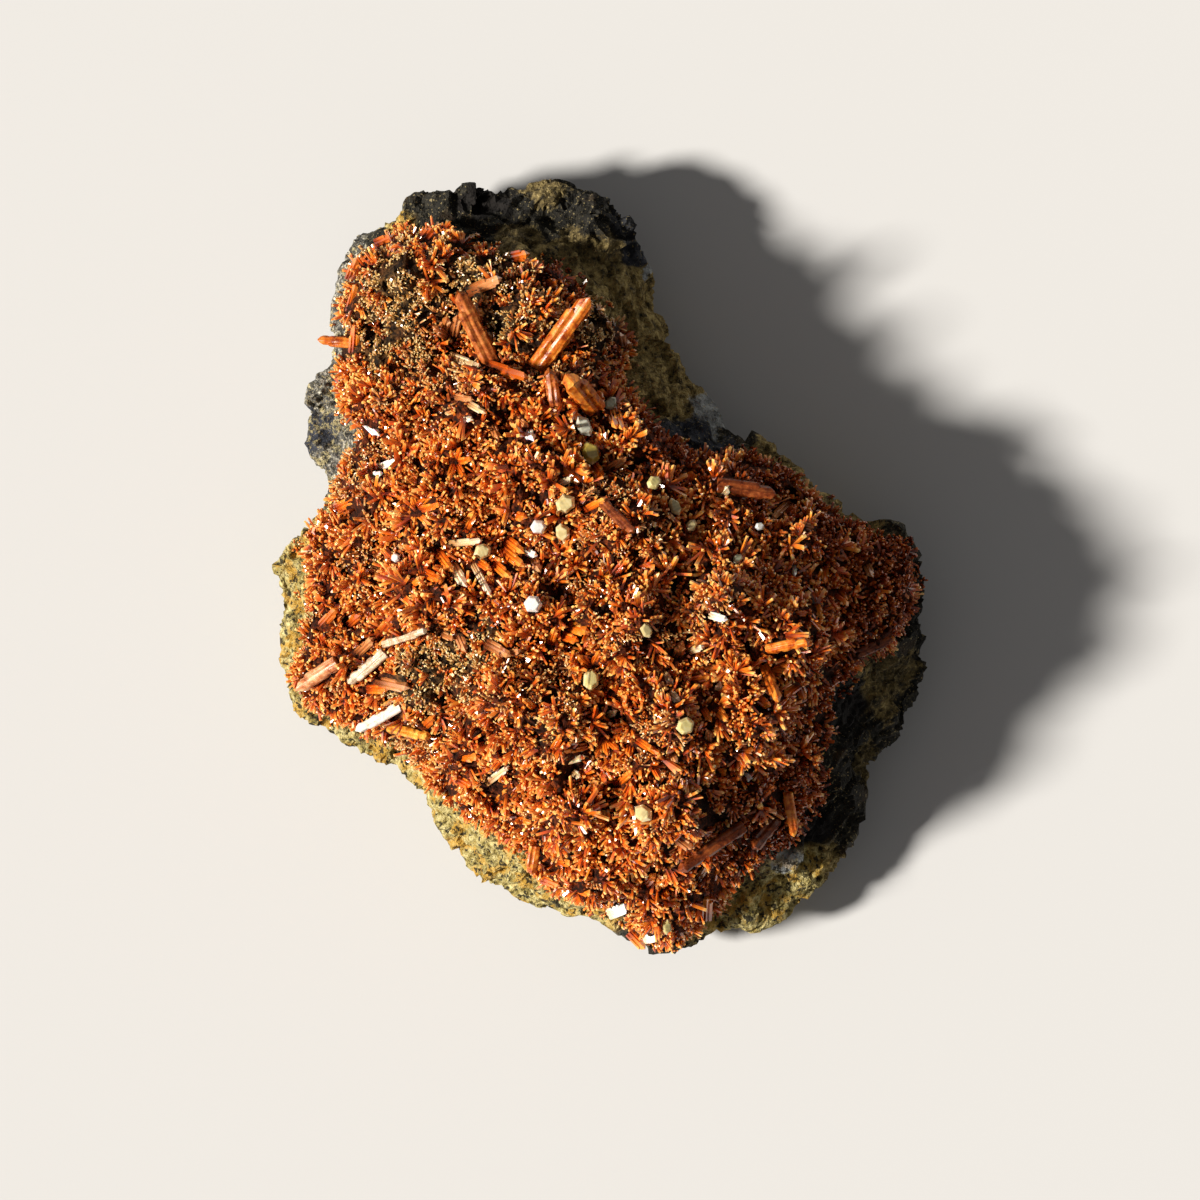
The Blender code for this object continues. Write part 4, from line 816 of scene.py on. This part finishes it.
# Crystals in a tuft, their length and width in millimetres, and how far they spread.
TUFTS = {
    "bright": {"count": (7, 11), "length": (1.0, 2.3), "width": (0.22, 0.50), "spread": 1.6},
    "star": {"count": (8, 12), "length": (1.5, 2.7), "width": (0.30, 0.62), "spread": 2.8},
    "tan": {"count": (10, 14), "length": (0.7, 1.4), "width": (0.16, 0.30), "spread": 2.2},
    "golden": {"count": (12, 17), "length": (0.5, 1.1), "width": (0.15, 0.30), "spread": 2.4},
    "dark": {"count": (7, 10), "length": (0.9, 2.0), "width": (0.22, 0.48), "spread": 1.7},
    "young": {"count": (4, 6), "length": (0.5, 1.0), "width": (0.20, 0.40), "spread": 1.2},
}
STAR_LIFT = 0.35  # how far a star's foot stands over the layer, in millimetres
STARS = 0.22  # of the bright tufts
OVER = 0.6 * MM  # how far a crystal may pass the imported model's box
STRAYS = 0.4  # of the places on the bare rock beside the crust


def tuft_of(kind, look, place, normal, scale):
    """The crystals of one tuft, as scattered() takes them."""
    tuft = TUFTS[kind]
    tilt = leaning(normal, rng.uniform(0, 0.7), rng.uniform(0, math.tau))
    lift = STAR_LIFT if kind == "star" else -0.2
    reach = 0.15 if kind == "star" else 0.4
    shares = (1.0,) if kind == "young" else (0.3, 0.65, 1.0)
    for _ in range(rng.randint(*tuft["count"])):
        lean = abs(rng.gauss(0, 0.55)) * tuft["spread"]
        axis = leaning(tilt, lean, rng.uniform(0, math.tau))
        length = rng.uniform(*tuft["length"]) * scale * MM
        width = rng.uniform(*tuft["width"]) * MM
        shift = Vector((rng.uniform(-1, 1), rng.uniform(-1, 1), 0)) * reach * MM
        foot = place + shift + normal * lift * MM
        tip = foot + axis * length
        kept = all(packed_box[0][k] - OVER < tip[k] < packed_box[1][k] + OVER for k in range(3))
        if kept and clear_of_large(foot, axis, length, shares):
            kinds[look].append((foot, axis, rng.uniform(0, math.tau), length, width, rng.random()))


def kind_at(place, crest):
    """Which crystals grow at a place."""
    mark = ragged(place)
    sugary = near(mark, SUGARY) + 0.3 * noise.noise(place / MM * 0.3)
    # Painted shade in part: low places, where crest is small, take the dark crystals.
    dark = max(near(mark, DARK_RED_AND_SHADE), 0.9 - 1.5 * crest)
    chances = {"golden": near(mark, GOLDEN) * 0.75, "dark": dark * 0.85, "tan": sugary * 0.75}
    chances["bright"] = 1.0
    return next(name for name, chance in chances.items() if rng.random() < chance)


rock_surface = tree_of(rock.data)
for row in range(-42, 42):
    for column in range(-35, 36):
        x = (column + (row % 2) / 2 + rng.uniform(-0.45, 0.45)) * SPACING
        y = (row + rng.uniform(-0.45, 0.45)) * SPACING
        place, normal = seen_from_above(layer_tree, x, y)
        around = [seen_from_above(layer_tree, x + dx, y + dy)[0] for dx, dy in AROUND]
        if place is None:
            if any(around) and rng.random() < STRAYS:
                place, normal = seen_from_above(rock_surface, x, y)
                if place:
                    tuft_of("young", kind_at(place, 0.8), place, normal, 0.9)
            continue
        normal = normal if normal.z > 0 else -normal
        inside = all(around)
        crest = swell(place)
        if crest < LOW and rng.random() < EMPTY:
            continue
        kind = kind_at(place, crest)
        scale = rng.uniform(0.8, 1.15) * (0.62 + 0.5 * crest) * (1.0 if inside else 0.75)
        star = kind == "bright" and inside and crest > 0.5 and rng.random() < STARS
        tuft_of("star" if star else kind, kind, place, normal, scale)
        beside = place + Vector((rng.uniform(-0.6, 0.6), rng.uniform(-0.6, 0.6), 0)) * MM
        look = "golden" if kind == "golden" else "young"
        # Painted shade: the small tufts in hollows take the dark look.
        tuft_of("young", "dark" if crest < 0.25 else look, beside, normal, 1.0)

# The steep sides of the crust carry them too, where a look from above would miss them. Its faces
# are taken in the order of their vertices, because the extrusion above gives them in any order.
LEVEL = 0.55  # the rise of a face's normal from which the tufts above are enough
SIDE_SPACING = 1.35
for face in sorted(layer.data.polygons, key=lambda face: sorted(face.vertices)):
    steep = 1 - max(0.0, face.normal.z) / LEVEL
    if rng.random() > steep * face.area / (SIDE_SPACING * MM) ** 2:
        continue
    if rock_tree.ray_cast(face.center + face.normal * 0.02 * MM, face.normal, 2 * MM)[0]:
        continue
    kind = kind_at(face.center, swell(face.center))
    tuft_of(kind, kind, face.center, face.normal, rng.uniform(0.7, 1.0))

crystal_pieces(kinds)

# The large crocoite prisms: single crystals and twins with fine grooves along them, glassy, and
# deep orange to brown-red. Each stands in its own socket in the crust.


def long_axis(bm):
    """The middle of a shape, and its directions from the longest to the shortest."""
    points = np.array([v.co for v in bm.verts])
    middle = points.mean(0)
    _, _, ways = np.linalg.svd(points - middle)
    return Vector(middle), [Vector(way) for way in ways]


PRISM_LOOKS = {
    "warm": ((0.22, 0.024, 0.003), (0.60, 0.130, 0.009), (0.82, 0.320, 0.045)),
    "amber": ((0.36, 0.080, 0.006), (0.68, 0.230, 0.016), (0.86, 0.460, 0.080)),
    "brick": ((0.12, 0.016, 0.003), (0.40, 0.090, 0.014), (0.66, 0.230, 0.050)),
    "pink": ((0.34, 0.090, 0.030), (0.60, 0.220, 0.085), (0.80, 0.440, 0.230)),
    "pale": ((0.30, 0.150, 0.060), (0.56, 0.390, 0.225), (0.88, 0.780, 0.640)),
    # Painted highlight: the white look colours a prism white all over, for a glint of the light on it.
    "white": ((0.62, 0.420, 0.260), (0.88, 0.800, 0.700), (0.95, 0.930, 0.880)),
    "brown": ((0.05, 0.007, 0.002), (0.18, 0.032, 0.006), (0.38, 0.100, 0.022)),
}
PRISM_KINDS = {
    "warm": ("tall_right", "left_rim", "red_stub", "fan_upper", "fan_lower", "hanging", "pink"),
    "amber": ("amber",),
    "brick": ("tall_left", "stub"),
    "pink": ("low_left",),
    "pale": ("long_blade", "thin_blade"),
    # The bright prism is a painted highlight.
    "white": ("bright",),
    "brown": ("shaded_block", "dark_red", "brown_long", "chunky", "right_blade"),
}
STREAKS = 0.18  # the share of a prism's colour that runs along it as streaks
PALE_STREAKS = 0.45
prism_finishes = {}
for kind, colours in PRISM_LOOKS.items():
    finish = Finish("crocoite_prism_" + kind)
    lines = finish.add(
        "ShaderNodeTexNoise",
        {"noise_dimensions": "1D"},
        {"W": finish.mark("across"), "Scale": 7.0, "Detail": 3.0, "Roughness": 0.6},
    )
    cloud = finish.grain(1.1 * MM, 4, distortion=0.6)
    streaks = PALE_STREAKS if kind == "pale" else STREAKS
    shade = lines * streaks + cloud * (1 - streaks)
    shade = finish.ramp(shade, (0.36, colours[0]), (0.5, colours[1]), (0.64, colours[2]))
    # Painted highlights: small flecks, paler than the prism's palest colour, stand for glints of the light.
    flakes_and_glints = finish.grain(0.28 * MM, 3, rough=0.7)
    glint_flake = tuple(min(0.95, c * 1.5) for c in colours[2])
    shade = finish.mix(finish.step(flakes_and_glints, 0.56, 0.66) * 0.45, shade, glint_flake)
    finish.set(Base_Color=shade, Roughness=0.32 + 0.4 * (cloud - 0.5), IOR=1.8, Transmission_Weight=0.15)
    finish.set(Specular_IOR_Level=0.14)
    finish.set(Subsurface_Weight=0.12, Subsurface_Radius=(1.0, 0.3, 0.08), Subsurface_Scale=0.6 * MM)
    finish.relief(lines + cloud * 0.4 + flakes_and_glints * 0.8, 0.06 * MM, 0.5)
    prism_finishes |= {"crocoite_prism_" + name: finish for name in PRISM_KINDS[kind]}
FLAT = 0.02  # faces that differ by less than this angle are one crystal face
SHARP = 0.25
PRISM_BEVEL = 0.05 * MM
GROOVE = 0.05 * MM
SWELLING = 0.12 * MM
CHIP = 1.3 * MM  # the deepest chip, out of an edge or an end
for name in prism_finishes:
    bm = merged(name)
    middle, (along, wide, deep) = long_axis(bm)
    bmesh.ops.dissolve_limit(bm, angle_limit=FLAT, verts=bm.verts, edges=bm.edges)
    sharp = [e for e in bm.edges if e.is_manifold and e.calc_face_angle() > SHARP]
    bmesh.ops.bevel(
        bm, geom=sharp, offset=PRISM_BEVEL, affect="EDGES", segments=1, profile=0.5, material=-1
    )
    reach = max(abs((v.co - middle).dot(wide)) for v in bm.verts)
    stretch = max(abs((v.co - middle).dot(along)) for v in bm.verts)
    for way, most, cuts in ((wide, reach, 12), (along, stretch, 14)):
        for k in range(1 - cuts, cuts):
            geom = bm.verts[:] + bm.edges[:] + bm.faces[:]
            bmesh.ops.bisect_plane(bm, geom=geom, plane_co=middle + way * most * k / cuts, plane_no=way)
    layer_across = bm.verts.layers.float.new("across")
    for vert in bm.verts:
        offset = (vert.co - middle).dot(wide)
        vert[layer_across] = offset / reach
        height = (vert.co - middle).dot(along)
        groove = GROOVE * noise.noise(Vector((offset / MM * 2.6, len(name), 0)))
        swelling = SWELLING * noise.noise(vert.co / MM * 0.9)
        rim = max(0.0, abs(offset) / reach - 0.6, abs(height) / stretch - 0.75)
        chip = CHIP * rim * max(0.0, noise.noise(vert.co / MM * 1.1) + 0.15)
        vert.co -= deep * (groove + swelling) * (1 if (vert.co - middle).dot(deep) > 0 else -1)
        vert.co -= (vert.co - middle - along * height * 0.8).normalized() * chip
    piece_of(name.replace("crocoite_prism", "prism"), bm, prism_finishes[name], "crocoite_large", name)

# The cerussite tablets: lead carbonate, clear to cream and pale yellow, with bevelled edges and
# fine ribs across them. They sit on and among the crocoite.
TABLET_COLOURS = {
    "white": (0.93, 0.91, 0.85),
    "clear": (0.80, 0.80, 0.66),
    "yellow": (0.62, 0.47, 0.08),
    "straw": (0.74, 0.62, 0.25),
    "cream": (0.80, 0.65, 0.31),
    "green": (0.54, 0.55, 0.37),
}
TABLET_KINDS = {
    "white": ("cluster_white", "mid_white", "left_small", "right_far"),
    "clear": ("upper_white",),
    "yellow": ("upper_yellow",),
    "straw": ("ribbed", "right_high", "pyramid", "toe"),
    "cream": (
        "cluster_top", "cluster_low", "left_round", "right_pair", "right_small", "mid_right", "low_right",
    ),  # fmt: skip
    "green": ("upper_grey", "right_green"),
}
tablet_finishes = {}
for kind, colour in TABLET_COLOURS.items():
    finish = Finish("cerussite_" + kind)
    cloud = finish.grain(0.8 * MM, 3)
    # The ribs, and on the smooth tablets a painted highlight that makes them paler towards the rim.
    ribs = finish.mark("ribs")
    darker = tuple(c * 0.55 for c in colour)
    paler = tuple(min(0.93, 0.3 + c * 0.8) for c in colour)
    shade = finish.ramp(cloud * 0.5 + ribs * 0.5, (0.30, darker), (0.48, colour), (0.72, paler))
    finish.set(Base_Color=shade, Roughness=0.08 + 0.08 * cloud)
    finish.set(IOR=1.9, Transmission_Weight=0.25)
    finish.set(Subsurface_Weight=0.2, Subsurface_Radius=(1.0, 0.9, 0.6), Subsurface_Scale=0.8 * MM)
    tablet_finishes |= {"cerussite_" + name: finish for name in TABLET_KINDS[kind]}
TABLET_BEVEL = 0.09 * MM
RIB = 0.16 * MM  # the ribs of the ribbed tablet, and the faint ones of the others
FAINT_RIB = 0.02 * MM
CUTS = 12  # on each side of a tablet's middle
for name in tablet_finishes:
    bm = merged(name)
    middle, (along, wide, deep) = long_axis(bm)
    bmesh.ops.dissolve_limit(bm, angle_limit=FLAT, verts=bm.verts, edges=bm.edges)
    bmesh.ops.bevel(
        bm, geom=bm.edges[:], offset=TABLET_BEVEL, affect="EDGES", segments=2, profile=0.5, material=-1
    )
    ribbed = name.endswith("ribbed")
    way, depth = (wide, RIB) if ribbed else (along, FAINT_RIB)
    reach = max(abs((v.co - middle).dot(way)) for v in bm.verts)
    rim = max((v.co - middle).length for v in bm.verts)
    for k in range(1 - CUTS, CUTS):
        geom = bm.verts[:] + bm.edges[:] + bm.faces[:]
        bmesh.ops.bisect_plane(bm, geom=geom, plane_co=middle + way * reach * k / CUTS, plane_no=way)
    layer_ribs_and_rim_highlight = bm.verts.layers.float.new("ribs")
    for vert in bm.verts:
        rib = noise.noise(Vector(((vert.co - middle).dot(way) / MM * 3.4, len(name), 3)))
        # Painted highlight: on the tablets that are not ribbed, the colour turns paler towards the rim.
        vert[layer_ribs_and_rim_highlight] = 0.5 + rib if ribbed else ((vert.co - middle).length / rim) ** 3 + rib * 0.3
        vert.co += (vert.co - middle).normalized() * depth * rib
    piece_of(name.replace("cerussite", "tablet"), bm, tablet_finishes[name], "cerussite", name)

# A plain pale floor, a soft low light from the left as in the photograph, and a weak even one
# from all around.
SUN_WAY = Vector((0.79, 0.15, -0.61))
SUN_STRENGTH = 7.2
SUN_WIDTH = math.radians(8)
SKY_STRENGTH = 0.16
floor = bpy.data.objects.new("floor", bpy.data.meshes.new("floor"))
bpy.context.collection.objects.link(floor)
bm = bmesh.new()
bmesh.ops.create_grid(bm, x_segments=1, y_segments=1, size=1.5)
bm.to_mesh(floor.data)
bm.free()
pale = Finish("pale_floor")
pale.set(Base_Color=(0.56, 0.56, 0.57), Roughness=0.9)
floor.data.materials.append(pale.material)

sun = bpy.data.lights.new("sun", "SUN")
sun.energy = SUN_STRENGTH
sun.angle = SUN_WIDTH
sun.color = (1.0, 0.95, 0.86)
sun_object = bpy.data.objects.new("sun", sun)
sun_object.rotation_euler = SUN_WAY.to_track_quat("-Z", "Y").to_euler()
bpy.context.collection.objects.link(sun_object)
world = bpy.data.worlds.new("sky")
world.use_nodes = True
sky = world.node_tree.nodes["Background"]
sky.inputs["Color"].default_value = (1.0, 0.97, 0.93, 1)
sky.inputs["Strength"].default_value = SKY_STRENGTH
bpy.context.scene.world = world
bpy.context.scene.view_settings.view_transform = "Standard"

# The camera looks straight down, so that the picture is framed as the photograph is: 138 mm
# across at the height of the rock's rim.
RIM_HEIGHT = 14 * MM
DISTANCE = 1.3
PICTURE_WIDTH = 0.138
camera = bpy.data.cameras.new("camera")
camera.sensor_width = 36
camera.lens = camera.sensor_width * DISTANCE / PICTURE_WIDTH
camera.clip_start = 0.1
camera.clip_end = 10
camera_object = bpy.data.objects.new("camera", camera)
camera_object.location = (0, -3.8 * MM, RIM_HEIGHT + DISTANCE)
bpy.context.collection.objects.link(camera_object)
bpy.context.scene.camera = camera_object
